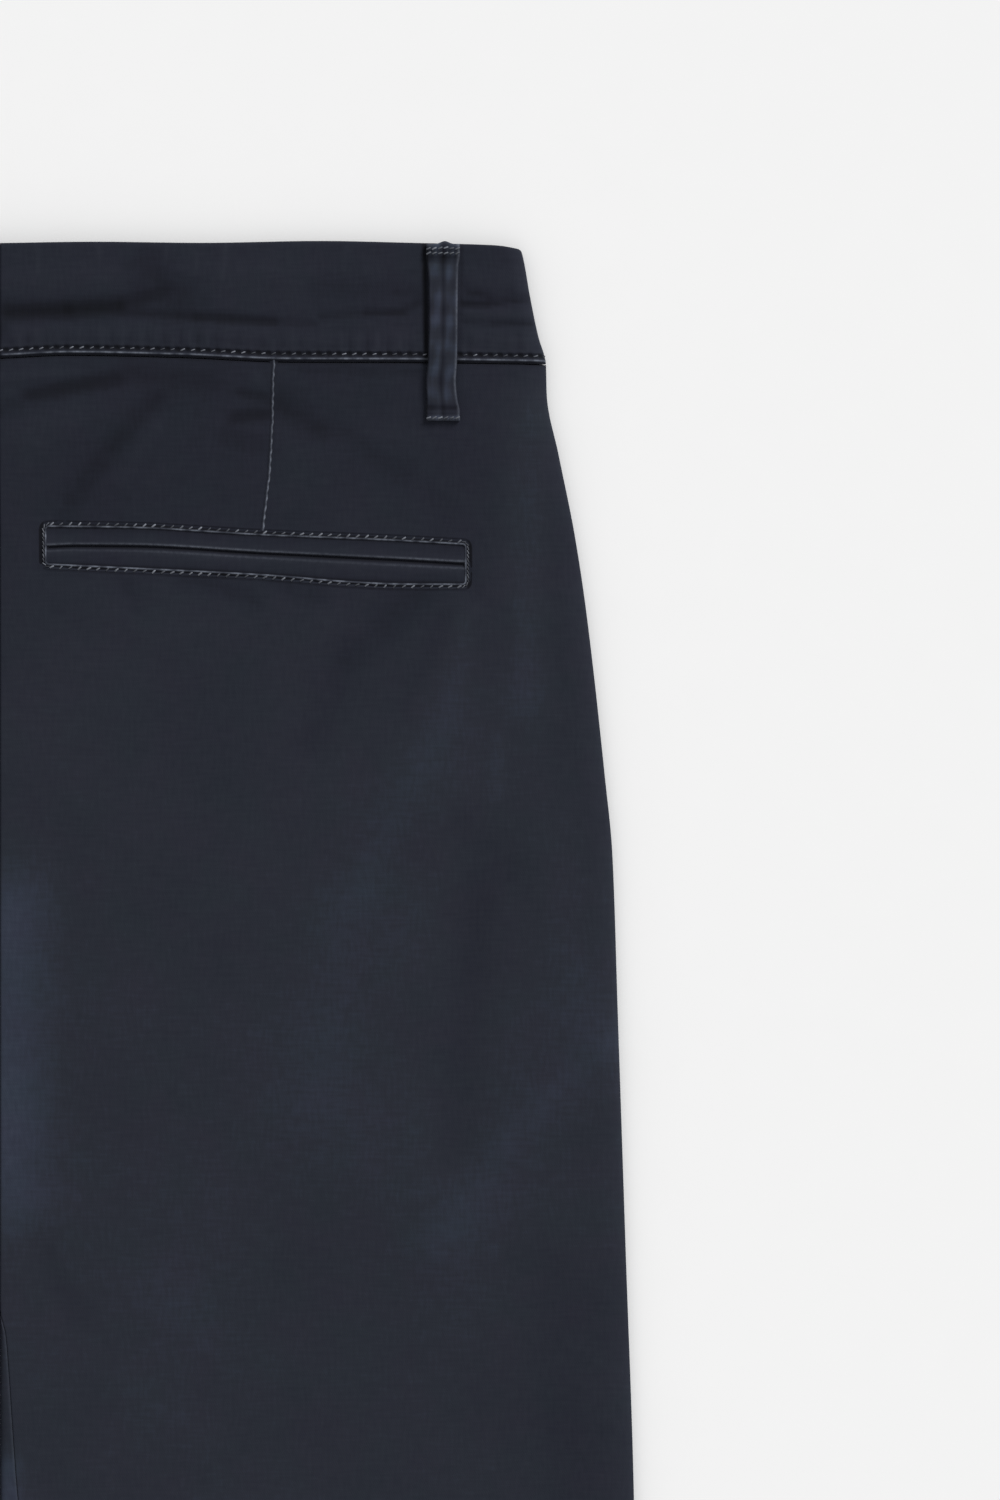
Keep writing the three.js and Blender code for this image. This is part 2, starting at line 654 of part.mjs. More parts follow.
async function buttonGeometry() {
  const wasm = await Module();
  wasm.setup();
  const solid = (geometry) => {
    geometry.deleteAttribute('normal');
    geometry.deleteAttribute('uv');
    const merged = mergeVertices(geometry, 1e-4);
    const triVerts = new Uint32Array(merged.index.array);
    return new wasm.Manifold(new wasm.Mesh({
      numProp: 3,
      vertProperties: new Float32Array(merged.attributes.position.array),
      triVerts,
    }));
  };
  const { radius, thick, rim, dish } = BUTTON;
  const { round, bevel, slope } = BUTTON_EDGE;
  const profile = [
    [0, 0],
    [radius - slope, 0],
    [radius, round],
    [radius, thick - round],
    [radius - bevel, thick],
    [radius - rim, thick],
    [radius - rim - slope, thick - dish],
    [0, thick - dish],
  ].map(([x, y]) => new THREE.Vector2(x, y));
  const disc = new THREE.LatheGeometry(profile, BUTTON_SIDES);
  disc.rotateX(QUARTER);
  let body = solid(disc);
  for (const [x, y] of [[-1, -1], [-1, 1], [1, -1], [1, 1]]) {
    const drill = new THREE.CylinderGeometry(BUTTON_HOLE.radius, BUTTON_HOLE.radius, 3 * thick, HOLE_SIDES);
    drill.rotateX(QUARTER);
    drill.translate(x * BUTTON_HOLE.offset, y * BUTTON_HOLE.offset, thick / 2);
    body = body.subtract(solid(drill));
  }
  const mesh = body.getMesh();
  const geometry = new THREE.BufferGeometry();
  geometry.setAttribute('position', new THREE.Float32BufferAttribute(mesh.vertProperties, 3));
  geometry.setIndex(Array.from(mesh.triVerts));
  geometry.computeVertexNormals();
  return geometry;
}

function piece(name, geometry, colour, roughness) {
  const material = new THREE.MeshStandardMaterial({ color: colour, roughness, metalness: 0 });
  const mesh = new THREE.Mesh(geometry, material);
  mesh.name = name;
  return mesh;
}

const trousers = new THREE.Group();

for (const side of SIDES) {
  const add = (name, rows, colour = NAVY) => {
    trousers.add(piece(`${name}_${side.name}`, wallOf(rows), colour, 0.85));
  };
  const facingDepths = SECTIONS.filter((depth) => depth < FACING_END).concat(FACING_END);
  const back = panelRows(side, backPath, backStations, SECTIONS, BACK_SEAM);
  add('back', back);
  add('front', panelRows(side, frontPath, frontStations, SECTIONS, FRONT_SEAM));
  add('front_pocket_facing', panelRows(side, facingPath, facingStations, facingDepths, FRONT_SEAM));
  add('waistband', bandRows(side));
  add('back_pocket_upper_lip', lipRows(side, back, true), NAVY_WORN);
  add('back_pocket_lower_lip', lipRows(side, back, false), NAVY_WORN);
  add('belt_loop_back', backLoopRows(side, back), NAVY_WORN);
  add('belt_loop_front', frontLoopRows(side), NAVY_WORN);
}

const button = piece('waist_button', await buttonGeometry(), BUTTON_NAVY, 0.45);
button.position.set(0, yOf(FRONT_TOP[0].depth + BUTTON.below), 0);
trousers.add(button);

export default trousers;
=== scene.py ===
# %% [markdown]
# # Navy chino trousers, laid flat with the back up
#
# The trousers are seen from straight above, so nearly all of their looks come from small things: soft
# creases that catch the light, seams whose edges have lost their dye, and rows of stitches. The packed
# CAD model gives the cut. This lesson builds each piece of cloth again on the same sections, with a much
# finer grid, and then adds the creases, the worn edges, the thread and the twill.
#
# The frame comes first. It holds the CAD pieces, in metres, and nothing here moves them.

import math

import bpy
import numpy as np
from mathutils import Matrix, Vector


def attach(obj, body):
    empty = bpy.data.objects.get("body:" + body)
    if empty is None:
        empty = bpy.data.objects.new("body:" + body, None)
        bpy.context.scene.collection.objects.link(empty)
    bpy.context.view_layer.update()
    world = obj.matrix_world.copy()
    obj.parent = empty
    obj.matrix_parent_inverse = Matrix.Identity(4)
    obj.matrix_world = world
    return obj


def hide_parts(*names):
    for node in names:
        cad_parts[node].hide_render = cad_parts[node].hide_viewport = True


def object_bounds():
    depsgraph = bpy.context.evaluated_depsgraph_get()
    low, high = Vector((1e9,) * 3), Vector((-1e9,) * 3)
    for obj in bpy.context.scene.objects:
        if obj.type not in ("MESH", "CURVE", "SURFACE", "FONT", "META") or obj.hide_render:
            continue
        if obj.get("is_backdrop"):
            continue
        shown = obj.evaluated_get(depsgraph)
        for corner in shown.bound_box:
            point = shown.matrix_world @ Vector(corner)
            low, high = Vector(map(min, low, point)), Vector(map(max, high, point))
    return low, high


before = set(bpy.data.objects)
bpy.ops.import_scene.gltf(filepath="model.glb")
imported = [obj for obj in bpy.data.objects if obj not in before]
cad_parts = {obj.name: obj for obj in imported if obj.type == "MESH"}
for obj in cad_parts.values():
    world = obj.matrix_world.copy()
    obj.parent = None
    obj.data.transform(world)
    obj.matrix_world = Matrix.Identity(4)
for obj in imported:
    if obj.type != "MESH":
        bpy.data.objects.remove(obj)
CAD_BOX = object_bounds()
print("pieces in the frame:", ", ".join(sorted(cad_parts)))

# %% [markdown]
# A cutter works in millimetres, and so do the tables here. A point becomes metres only when it goes into
# a mesh. Depth is measured down the garment from the top of the waistband, and x from the centre back
# towards the side seam. The photograph is one straight view, and one scale turns its pixels into depth
# and x, which is how the places of the creases were read.
#
# Two pieces that are sewn together lie a seam gap apart. Along the centre line and the inseam their
# edges come closer, an edge gap from the line, so that no floor shows between them.

# %% Units and driving sizes
MM = 0.001
LENGTH = round((CAD_BOX[1].y - CAD_BOX[0].y) / MM)
MM_PER_PIXEL = 0.35
PHOTO = {"wide": 1000, "high": 1500, "waist_row": 241}

CLOTH = 1.2
HEM_CLOTH = 2.2
HEM_START = LENGTH - 34
SEAM_GAP = 0.3
EDGE_GAP = 0.06
CROTCH_DEPTH = 372
FULL_WRAP_DEPTH = 376
QUARTER = math.pi / 2
RIGHT, LEFT = 1, -1
SIDE_NAMES = {RIGHT: "right", LEFT: "left"}


def both(make):
    """What a function makes for the right side and for the left side."""
    return {side: make(side) for side in SIDE_NAMES}


print("length of the trousers:", LENGTH, "mm")

# %% [markdown]
# The camera stands straight above the cloth, as far away as a portrait lens needs, and its frame covers
# 350 by 525 mm. The light is a wide soft source from the upper right of the picture with an even white
# room around it. Cloth this dark shows its creases only if the soft source comes in low, so that one
# side of a crease catches it and the other side turns away.

# %% Camera, light and floor
LENS_MM = 135
SENSOR_MM = 36
CLOTH_TOP = 5.5
FLOOR_HALF = 14.0
FLOOR_DROP = 0.35
SUN = {"azimuth": 52, "elevation": 30, "strength": 2.9, "angle": 24}
ROOM_STRENGTH = 0.525


def photo_point(column, row):
    """The place on the garment, as x and depth in mm, that a pixel of the photograph shows."""
    return column * MM_PER_PIXEL, (row - PHOTO["waist_row"]) * MM_PER_PIXEL


def make_camera():
    seen_high = PHOTO["high"] * MM_PER_PIXEL * MM
    x, depth = photo_point(PHOTO["wide"] / 2, PHOTO["high"] / 2)
    data = bpy.data.cameras.new("camera")
    data.sensor_fit = "VERTICAL"
    data.sensor_height = SENSOR_MM
    data.lens = LENS_MM
    camera = bpy.data.objects.new("camera", data)
    far = seen_high * LENS_MM / SENSOR_MM
    camera.location = (x * MM, (LENGTH / 2 - depth) * MM, CLOTH_TOP * MM + far)
    bpy.context.collection.objects.link(camera)
    bpy.context.scene.camera = camera
    return far


def make_light():
    data = bpy.data.lights.new("soft_key", "SUN")
    data.energy = SUN["strength"]
    data.angle = math.radians(SUN["angle"])
    key = bpy.data.objects.new("soft_key", data)
    key.rotation_euler = (0, math.radians(90 - SUN["elevation"]), math.radians(SUN["azimuth"]))
    bpy.context.collection.objects.link(key)
    world = bpy.data.worlds.new("white_room")
    world.use_nodes = True
    world.node_tree.nodes["Background"].inputs["Color"].default_value = (1, 1, 1, 1)
    world.node_tree.nodes["Background"].inputs["Strength"].default_value = ROOM_STRENGTH
    bpy.context.scene.world = world
    bpy.context.scene.view_settings.view_transform = "Standard"


def make_floor():
    low = -FLOOR_DROP * MM
    corners = [(-1, -1), (1, -1), (1, 1), (-1, 1)]
    mesh = bpy.data.meshes.new("floor")
    mesh.from_pydata([(FLOOR_HALF * x, FLOOR_HALF * y, low) for x, y in corners], [], [(0, 1, 2, 3)])
    floor = bpy.data.objects.new("floor", mesh)
    bpy.context.collection.objects.link(floor)
    floor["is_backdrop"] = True
    return floor


print("camera is", round(make_camera(), 3), "m above the cloth")
make_light()
floor = make_floor()

# %% [markdown]
# The cut is kept in short tables: the outline, the seams, and how high each face lies above the floor.
# Between two rows of a table a value follows a smooth curve that never swings past its rows, as a
# cutter's curved ruler would.

# %% Tables and the curve between their rows
def table(columns, *rows):
    """A cutter's table: named columns, one row a line."""
    return dict(zip(columns.split(), np.array(rows, float).T))


def smooth(low, high, value):
    t = np.clip((np.asarray(value, float) - low) / (high - low), 0, 1)
    return t * t * (3 - 2 * t)


def mix(a, b, share):
    return a + (b - a) * share


def bell(value, centre, reach):
    """1 at the centre, fading softly to 0 on either side."""
    return np.exp(-(((value - centre) / reach) ** 2))


def wandering(at, length, sway, sway_length):
    """A wave whose crests wander, for wear that is never quite regular."""
    return np.sin(at / length + sway * np.sin(at / sway_length))


def along(rows, key, at, column):
    """The smooth value in a column at a place, or at an array of places, along the key column."""
    x, y = rows[key], rows[column]
    at = np.clip(at, x[0], x[-1])
    slope = np.diff(y) / np.diff(x)
    before, after = slope[:-1], slope[1:]
    same_way = before * after > 0
    middle = np.where(same_way, 2 * before * after / np.where(same_way, before + after, 1), 0)
    tangent = np.concatenate([slope[:1], middle, slope[-1:]])
    i = np.clip(np.searchsorted(x, at, side="right") - 1, 0, len(x) - 2)
    span = x[i + 1] - x[i]
    t = (at - x[i]) / span
    s = 1 - t
    level = s * s * (1 + 2 * t) * y[i] + t * t * (3 - 2 * t) * y[i + 1]
    return level + span * (t * s * s * tangent[i] - t * t * s * tangent[i + 1])


OUTER_EDGE = table(
    "depth x",
    (0.7, 177.8), (2.5, 182), (5.2, 183), (19, 185.5), (33, 188.4), (43, 191.1), (54, 191.4),
    (75, 195.6), (103, 201.2), (131, 205.4), (187, 211.7), (215, 214.4), (271, 216.3), (355, 219.1),
    (439, 221.9), (540, 223.4), (700, 224.5), (860, 224), (1040, 222.5),
)
INNER_FOLD = table(
    "depth x", (445, 0.04), (480, 3.5), (560, 15), (670, 29), (850, 41), (1040, 50),
)
BACK_INSEAM = table(
    "depth x",
    (370, 0), (375, 0.06), (379, 1), (383, 1.9), (392, 2.7), (414, 4.2), (438, 6), (480, 11), (560, 24),
    (670, 40), (850, 52), (1040, 60),
)
BACK_TOP = table(
    "x depth", (0, 0.9), (35, 0.4), (70, 0.7), (112, 0), (147, 0.7), (172, 1.4), (182, 2.5),
)
BACK_SEAM = table("x depth", (0, 41.1), (25, 40), (63, 40.7), (102, 42.3), (140, 42.4), (191, 43))
FRONT_TOP = table("x depth", (0, 16), (60, 12.5), (130, 5.5), (182, 2.5))
FRONT_SEAM = table("x depth", (0, 57), (60, 53.5), (130, 46.5), (191, 43))
BAND_FACES = table(
    "x back front",
    (0, 9, 2.9), (20, 8.9, 2.8), (60, 7.8, 2.1), (95, 7.2, 1.95), (125, 7, 1.2), (150, 6.9, 1),
    (182, 6.8, 0.7),
)
BACK_FACE = table(
    "depth inner middle outer",
    (90, 5, 4.8, 5.7), (200, 4.4, 5.2, 5.7), (320, 4, 5.1, 5.5), (382, 5, 4.8, 5.4),
    (445, 5.3, 4.6, 5.4), (700, 5.4, 4.4, 5.4), (960, 5.4, 4.4, 5.4), (1006, 5.9, 5.3, 5.9),
    (1040, 6, 5.5, 6),
)
BACK_POCKET = table(
    "x top slit bottom",
    (16.1, 100, 107.2, 112.9), (26, 100.1, 106.8, 113.4), (45, 100.4, 106.9, 114.3),
    (93.8, 103.1, 109.5, 116.8), (122, 104.2, 110.9, 119.1), (140, 105, 111.8, 119.9),
    (162.8, 106.3, 113.1, 120),
)
print("half of the waist:", OUTER_EDGE["x"][1], "mm, half of the hem:", OUTER_EDGE["x"][-1], "mm")

# %% [markdown]
# Creases are placed one by one. Each row of a crease table is one soft fold from one place to another. Its
# width is how far it fades to either side, its rise is positive for a ridge and negative for a trough,
# and its tone is partly dye and partly painted light: a garment is dyed and washed after it is sewn, so
# ridges rub pale and troughs stay dark, and besides that each trough gets painted shade and each ridge a
# painted highlight. The large folds of the cut come first, and they match the CAD solids.

# %% The large folds
CREASE_COLUMNS = "x1 depth1 x2 depth2 width rise tone"
LARGE_FOLDS = {
    RIGHT: table(
        CREASE_COLUMNS,
        (70, 51, 21, 97, 12, -0.8, -0.1), (98, 58, 147, 66, 10, -0.5, 0),
        (185, 132, 150, 196, 16, 0.7, 0.12), (150, 196, 119, 318, 18, 0.7, 0.1),
        (162, 240, 161, 318, 11, -0.6, -0.12), (210, 280, 154, 353, 15, 0.7, 0.12),
        (45, 470, 118, 540, 16, 0.7, 0.1), (190, 600, 118, 655, 18, 0.8, 0.12),
        (75, 700, 150, 735, 16, -0.6, -0.1), (192, 840, 112, 890, 18, 0.7, 0.1),
    ),
    LEFT: table(
        CREASE_COLUMNS,
        (62, 54, 26, 92, 11, -0.7, -0.1), (110, 62, 152, 72, 10, -0.5, 0),
        (180, 150, 138, 236, 17, 0.7, 0.12), (138, 236, 120, 330, 17, 0.6, 0.1),
        (205, 300, 150, 372, 15, 0.7, 0.12), (52, 500, 128, 556, 17, 0.7, 0.1),
        (188, 636, 124, 700, 18, 0.8, 0.12), (80, 760, 146, 786, 16, -0.6, -0.1),
        (190, 872, 118, 930, 18, 0.7, 0.1),
    ),
}
print("large folds on each side:", [len(folds["x1"]) for folds in LARGE_FOLDS.values()])

# %% [markdown]
# The smaller creases were read from the photograph. The seat has most of them: they fan out from the
# dart and from the pocket's outer end, where the cloth is pulled towards the inner thigh. Some broad
# zones, where something under the cloth holds it up, are painted pale as painted highlights, and the
# hollows between them get painted shade.

# %% Creases of the seat
SEAT_CREASES = table(
    CREASE_COLUMNS,
    # under the waistband, towards the centre back
    (0, 48.3, 26, 46.2, 2.2, 0.25, 0.1), (41.4, 48.6, 10.9, 54.2, 2.8, -0.35, -0.8),
    (10.9, 54.2, 0, 60, 3, -0.25, -0.3), (54.3, 55.7, 39.6, 71.8, 4, -0.5, -0.42),
    (39.6, 71.8, 24.9, 91, 4, -0.55, -0.42), (24.9, 91, 14.7, 113, 3.6, -0.4, -0.26),
    (45, 47, 72, 50, 5, -0.3, -0.3), (54, 66, 42, 84, 4, 0.35, 0.15), (10, 70, 24, 62, 6, 0.3, 0.15),
    # beside the dart
    (84, 53.5, 93, 55, 2, -0.25, -0.5), (82, 62, 93, 61, 2.6, -0.35, -0.75),
    (97.5, 58, 112, 66, 5, -0.35, -0.5), (79, 69, 92, 72, 4, -0.25, -0.25),
    (88, 47, 91, 50, 2, 0.2, 0.15), (104, 80, 99, 92, 5, 0.2, 0.08),
    (114, 64.4, 141, 82.3, 5, -0.3, -0.22), (106, 45.5, 146, 46, 2, -0.15, -0.2),
    (150, 90, 155, 96, 5, -0.25, -0.12), (132, 92, 120, 98, 5, 0.2, 0.05),
    # under the pocket
    (64, 117, 88, 126, 4.5, -0.3, -0.32), (95, 119, 111, 126, 4.5, -0.3, -0.28),
    (44, 122, 48, 129, 4, -0.25, -0.2), (165, 116, 166, 123, 3.5, -0.3, -0.2),
    (30, 126, 60, 138, 8, 0.25, 0.08), (112, 130, 126, 140, 6, 0.2, 0.06),
    # drag lines from the pocket's outer end towards the inner thigh
    (146, 124, 121.5, 146, 6, -0.35, -0.3), (121.5, 146, 108.5, 175, 6.5, -0.35, -0.22),
    (155.4, 132.3, 148, 148.4, 4, -0.3, -0.15), (148, 148.4, 139, 166.3, 4.5, -0.3, -0.14),
    (162.4, 132.3, 155.4, 169, 7, 0.35, 0.26), (155.4, 169, 137.6, 203, 8, 0.35, 0.26),
    (137.6, 203, 124.6, 231, 9, 0.3, 0.24), (124.6, 231, 112, 300, 14, 0.2, 0.2),
    # along the side seam
    (185.9, 82, 186.5, 108, 3, 0.25, 0.25), (181.7, 126, 181.7, 154, 2.6, 0.3, 0.32),
    (174.3, 174, 173, 194, 2.6, 0.25, 0.24), (196, 120, 200, 150, 5, 0.2, 0.1),
    (161, 206, 176, 220, 8, -0.3, -0.18), (168, 222, 156, 322, 7, -0.25, -0.2),
    (190, 210, 196, 250, 8, 0.2, 0.12), (213.5, 280, 175, 318, 7, 0.3, 0.24),
    (175, 318, 154, 353, 9, 0.25, 0.2), (193, 362, 197, 440, 9, -0.25, -0.18),
    # along the centre back seam and the crotch
    (24, 210, 22, 300, 8, -0.2, -0.06), (22, 340, 60, 372, 12, 0.2, 0.08),
    (40, 150, 26, 196, 10, 0.15, 0.04), (12, 352, 26, 376, 5, -0.3, -0.14),
    (30, 392, 70, 420, 9, 0.2, 0.05),
)
LIT_AND_SHADED_ZONES = table(
    CREASE_COLUMNS,
    # broad zones painted pale, as painted highlights where the cloth lies over something under it, and
    # painted darker, as shade, in the hollows between them
    (2, 236, 2, 330, 17, 0.3, 0.6), (185, 56, 184, 160, 9, 0.15, 0.42),
    (170, 120, 152, 176, 12, 0.2, 0.12), (196, 200, 204, 300, 10, 0.1, 0.14),
    (206, 372, 200, 440, 18, -0.15, -0.2), (1, 430, 3, 470, 6, 0.1, 0.75),
    (188, 48, 190, 100, 5, 0.1, 0.12),
)
print("creases of the seat:", len(SEAT_CREASES["x1"]) + len(LIT_AND_SHADED_ZONES["x1"]))

# %% [markdown]
# Below the edge of the photograph the legs have slanted drag lines like those shown, further apart. The
# waistband is stiff, so its creases are short and sharp.

# %% Creases of the legs and the waistband
LEG_CREASES = table(
    CREASE_COLUMNS,
    (70, 452, 150, 470, 14, 0.3, 0.1), (206, 462, 170, 500, 10, 0.35, 0.12),
    (60, 560, 120, 590, 10, -0.35, -0.12), (212, 548, 160, 566, 9, -0.3, -0.1),
    (196, 612, 132, 642, 7, -0.35, -0.14), (205, 628, 150, 662, 6, 0.3, 0.14),
    (64, 640, 116, 668, 8, 0.35, 0.12), (84, 690, 160, 712, 7, -0.3, -0.12),
    (210, 706, 170, 742, 9, 0.3, 0.1), (70, 770, 108, 812, 11, 0.3, 0.1),
    (198, 796, 150, 820, 8, -0.3, -0.1), (204, 856, 150, 884, 7, -0.3, -0.12),
    (78, 880, 120, 930, 10, 0.3, 0.1), (200, 930, 156, 972, 12, 0.3, 0.1),
    (84, 960, 130, 1000, 9, -0.25, -0.08),
)
BAND_CREASES = table(
    CREASE_COLUMNS,
    # the folds along the middle of the band, from the centre back to the loop
    (3, 25.2, 24, 24.6, 3, -0.5, -1.3), (24, 24.6, 42, 23.2, 3, -0.5, -1.3),
    (42, 23.2, 58, 17.5, 3.4, -0.35, -0.75), (40, 25, 62, 26.4, 2, -0.3, -0.6),
    (1, 26, 1, 34, 2.2, -0.1, -0.4), (52, 10, 62, 20, 8, -0.1, -0.42),
    (62, 26.4, 68, 26.8, 1.8, -0.35, -0.7), (68, 26.8, 96, 28.4, 1.7, -0.45, -0.95),
    (96, 28.4, 110, 29.2, 1.5, -0.25, -0.35), (112, 27, 128, 25.4, 1.4, -0.3, -0.35),
    (128, 25.4, 141, 25, 1.4, -0.4, -0.75), (141, 25, 148, 21, 1.8, -0.3, -0.5),
    (112, 16, 148, 18.5, 4.5, -0.2, -0.2), (138, 17.5, 148, 17, 1.4, -0.2, -0.45),
    # and from the loop to the side
    (162, 22.3, 171, 22.3, 1.4, -0.5, -0.95), (171, 22.3, 186, 20, 1.2, -0.4, -0.6),
    (163, 17.4, 172, 20, 1.3, -0.3, -0.6), (172, 29.3, 186, 29, 1, -0.4, -0.65),
    (162, 28.5, 172, 29.3, 1.2, -0.2, -0.3),
    # soft ridges between them
    (2, 15, 50, 13, 5, 0.3, 0.1), (60, 11, 130, 14, 5, 0.3, 0.08), (4, 32.5, 92, 33.5, 3, 0.3, 0.06),
    (100, 35, 142, 34, 2.6, 0.2, 0.1), (166, 13, 180, 15, 3, 0.25, 0.1),
    (164, 25.5, 182, 26, 1.4, 0.2, 0.12), (166, 34, 186, 36, 2.4, 0.2, 0.1),
    # short upright creases where the top edge was turned over
    (13, 2.5, 13.5, 11, 1, 0.12, 0.24), (35, 3, 34.5, 9, 0.9, 0.1, 0.18),
    (58, 2.5, 57.5, 8, 1, 0.1, 0.2), (68.5, 4, 69, 11, 0.9, 0.12, 0.22),
    (79, 1.8, 78, 13, 1.3, 0.14, 0.32), (101, 3, 101, 8, 0.9, 0.1, 0.18),
    (121, 2.5, 120, 10, 1, 0.1, 0.2),
    # the shadow of the loop on the band, painted dark beside it
    (148.5, 1, 149.2, 41.5, 0.8, -0.2, -1.9), (161.7, 2, 161.2, 41.5, 0.5, -0.05, -0.4),
)
print("creases of the waistband:", len(BAND_CREASES["x1"]))

# %% [markdown]
# The photograph shows the right half only. The left half gets the same kinds of creases, each moved,
# turned and made a little stronger or weaker by draws from a fixed seed. One function then says what
# all the creases of a table do to a place, to its height or to its tone.

# %% Creases of the left half, and their sum
FOLD_FADE = {"low": 44, "high": 62}
OTHER_SIDE_SEED = 11
COPY_MOVE, COPY_TURN = {"x": 7, "depth": 6}, {"x": 5, "depth": 6}
COPY_STRENGTH = (0.75, 1.2)


def uneven_copy(creases, seed):
    """The same kind of creases for the side that the photograph doesn't show, each a little different."""
    draw = np.random.default_rng(seed)
    count = len(creases["x1"])
    moved_x = draw.uniform(-COPY_MOVE["x"], COPY_MOVE["x"], count)
    moved_depth = draw.uniform(-COPY_MOVE["depth"], COPY_MOVE["depth"], count)
    copy = {name: values.copy() for name, values in creases.items()}
    copy["x1"] += moved_x
    copy["x2"] += moved_x + draw.uniform(-COPY_TURN["x"], COPY_TURN["x"], count)
    copy["depth1"] += moved_depth
    copy["depth2"] += moved_depth + draw.uniform(-COPY_TURN["depth"], COPY_TURN["depth"], count)
    for name in ("width", "rise", "tone"):
        copy[name] *= draw.uniform(*COPY_STRENGTH, count)
    return copy


def joined(*tables):
    return {name: np.concatenate([t[name] for t in tables]) for name in tables[0]}


SHOWN_CREASES = joined(SEAT_CREASES, LIT_AND_SHADED_ZONES, LEG_CREASES)
PANEL_CREASES = {RIGHT: SHOWN_CREASES, LEFT: uneven_copy(SHOWN_CREASES, OTHER_SIDE_SEED)}
WAIST_CREASES = {RIGHT: BAND_CREASES, LEFT: uneven_copy(BAND_CREASES, OTHER_SIDE_SEED + 1)}


def crease_sum(creases, x, depth, column, blend=3):
    """What the creases of a table add at each place. A blend of 1 adds them up; a higher one keeps the
    strongest, so a line made of two creases has no knot where they meet."""
    x, depth = np.broadcast_arrays(np.asarray(x, float), np.asarray(depth, float))
    up, down = np.zeros(x.shape), np.zeros(x.shape)
    for x1, d1, x2, d2, width, amount in zip(
        *(creases[name] for name in ("x1", "depth1", "x2", "depth2", "width", column))
    ):
        run_x, run_d = x2 - x1, d2 - d1
        share = np.clip(((x - x1) * run_x + (depth - d1) * run_d) / (run_x**2 + run_d**2), 0, 1)
        away = np.hypot(x - x1 - share * run_x, depth - d1 - share * run_d)
        here = (abs(amount) * np.exp(-((away / width) ** 2))) ** blend
        if amount > 0:
            up += here
        else:
            down += here
    return up ** (1 / blend) - down ** (1 / blend)


print("creases on the right half:", len(PANEL_CREASES[RIGHT]["x1"]) + len(BAND_CREASES["x1"]))

# %% [markdown]
# Two faces carry everything else. The back's outer face is what the photograph shows. It dips where the
# pocket is cut in, so that the pocket's lips lie level with the cloth round them. The front's outer face
# lies on the floor below the waist, and the left front laps over the right one at the fly.

# %% Height of the back and of the front
BACK_ROLL, FRONT_ROLL = 9, 5
BAND_PROUD = 0.4
INNER_THIRD, OUTER_THIRD = {"low": 0, "high": 0.3}, {"low": 0.6, "high": 1}
CREASE_START = {"low": 43, "high": 48}
BACK_FADE = {"low": 60, "high": 122}
FRONT_FADE = {"low": 72, "high": 112}
FLY_STEP = {"full": 7.5, "none": 16}
FLY_STEP_END = {"low": 206, "high": 232}
SEAT_DARKENING = table(
    "depth tone",
    (43, -0.5), (70, -0.42), (110, -0.36), (135, -0.26), (160, -0.19), (200, -0.12), (250, -0.08),
    (320, -0.03), (372, -0.03), (425, -0.06), (1040, 0),
)
POCKET_DIP = 0.85
POCKET_RIM = 1.6


def outer_edge(depth):
    return along(OUTER_EDGE, "depth", depth, "x")


def back_inseam(depth):
    return along(BACK_INSEAM, "depth", depth, "x")


def pocket_edge(x, name):
    return along(BACK_POCKET, "x", x, name)


def inside_pocket(x, depth):
    """Distance from the edge of the pocket's window, positive inside it."""
    ends = np.minimum(x - BACK_POCKET["x"][0], BACK_POCKET["x"][-1] - x)
    sides = np.minimum(depth - pocket_edge(x, "top"), pocket_edge(x, "bottom") - depth)
    return np.minimum(ends, sides)


def smooth_back(side, x, depth):
    """The back's outer face with the large folds of the cut alone."""
    start, end = back_inseam(depth), outer_edge(depth) - BACK_ROLL
    across = np.clip((x - start) / (end - start), 0, 1)
    inner, middle, outer = (along(BACK_FACE, "depth", depth, name) for name in ("inner", "middle", "outer"))
    near_inner = 1 - smooth(*INNER_THIRD.values(), across)
    leg = middle + (inner - middle) * near_inner + (outer - middle) * smooth(*OUTER_THIRD.values(), across)
    waist = along(BAND_FACES, "x", x, "back") - BAND_PROUD
    folds = crease_sum(LARGE_FOLDS[side], x, depth, "rise", blend=1) * smooth(*FOLD_FADE.values(), depth)
    return mix(waist, leg, smooth(*BACK_FADE.values(), depth)) + folds


def back_face(side, x, depth):
    """The same face with the small creases."""
    small = crease_sum(PANEL_CREASES[side], x, depth, "rise") * smooth(*CREASE_START.values(), depth)
    return smooth_back(side, x, depth) + small


def back_cloth(side, x, depth):
    """The face of the panel itself, which dips in the pocket's window."""
    dip = POCKET_DIP * smooth(-POCKET_RIM / 2, POCKET_RIM / 2, inside_pocket(x, depth))
    return back_face(side, x, depth) - dip


def crease_and_seat_tone(side, x, depth):
    """Darker towards the waist, plus the creases' tone: partly dye, partly painted shade and highlight."""
    creases = crease_sum(joined(LARGE_FOLDS[side], PANEL_CREASES[side]), x, depth, "tone")
    return creases + along(SEAT_DARKENING, "depth", depth, "tone")


def front_face(side, x, depth):
    away = np.abs(x)
    lift = along(BAND_FACES, "x", away, "front") + BAND_PROUD
    lifted = lift * (1 - smooth(*FRONT_FADE.values(), depth))
    if side == LEFT:
        return lifted
    step = 1 - smooth(FLY_STEP["full"], FLY_STEP["none"], away)
    step_end = 1 - smooth(*FLY_STEP_END.values(), depth)
    return lifted + (CLOTH + SEAM_GAP) * step * step_end


print("the back lies", round(float(smooth_back(RIGHT, 100.0, 250.0)), 1), "mm above the floor at the seat")

# %% [markdown]
# A section across a piece of cloth is a path of paired points: one on the outer face and one on the inner
# face. It is laid from flat stretches and from quarter turns, which are the soft rolls at the side and
# at the inner leg. Near the waist a section bends to follow the seam under the waistband, so the first
# row of a panel is that seam.

# %% Paths across the cloth
SAMPLE = 0.8
TURN_SAMPLES = 14
THINNEST = 0.05
FIRST_ROW = 43.3
SEAM_WARP_END = 108


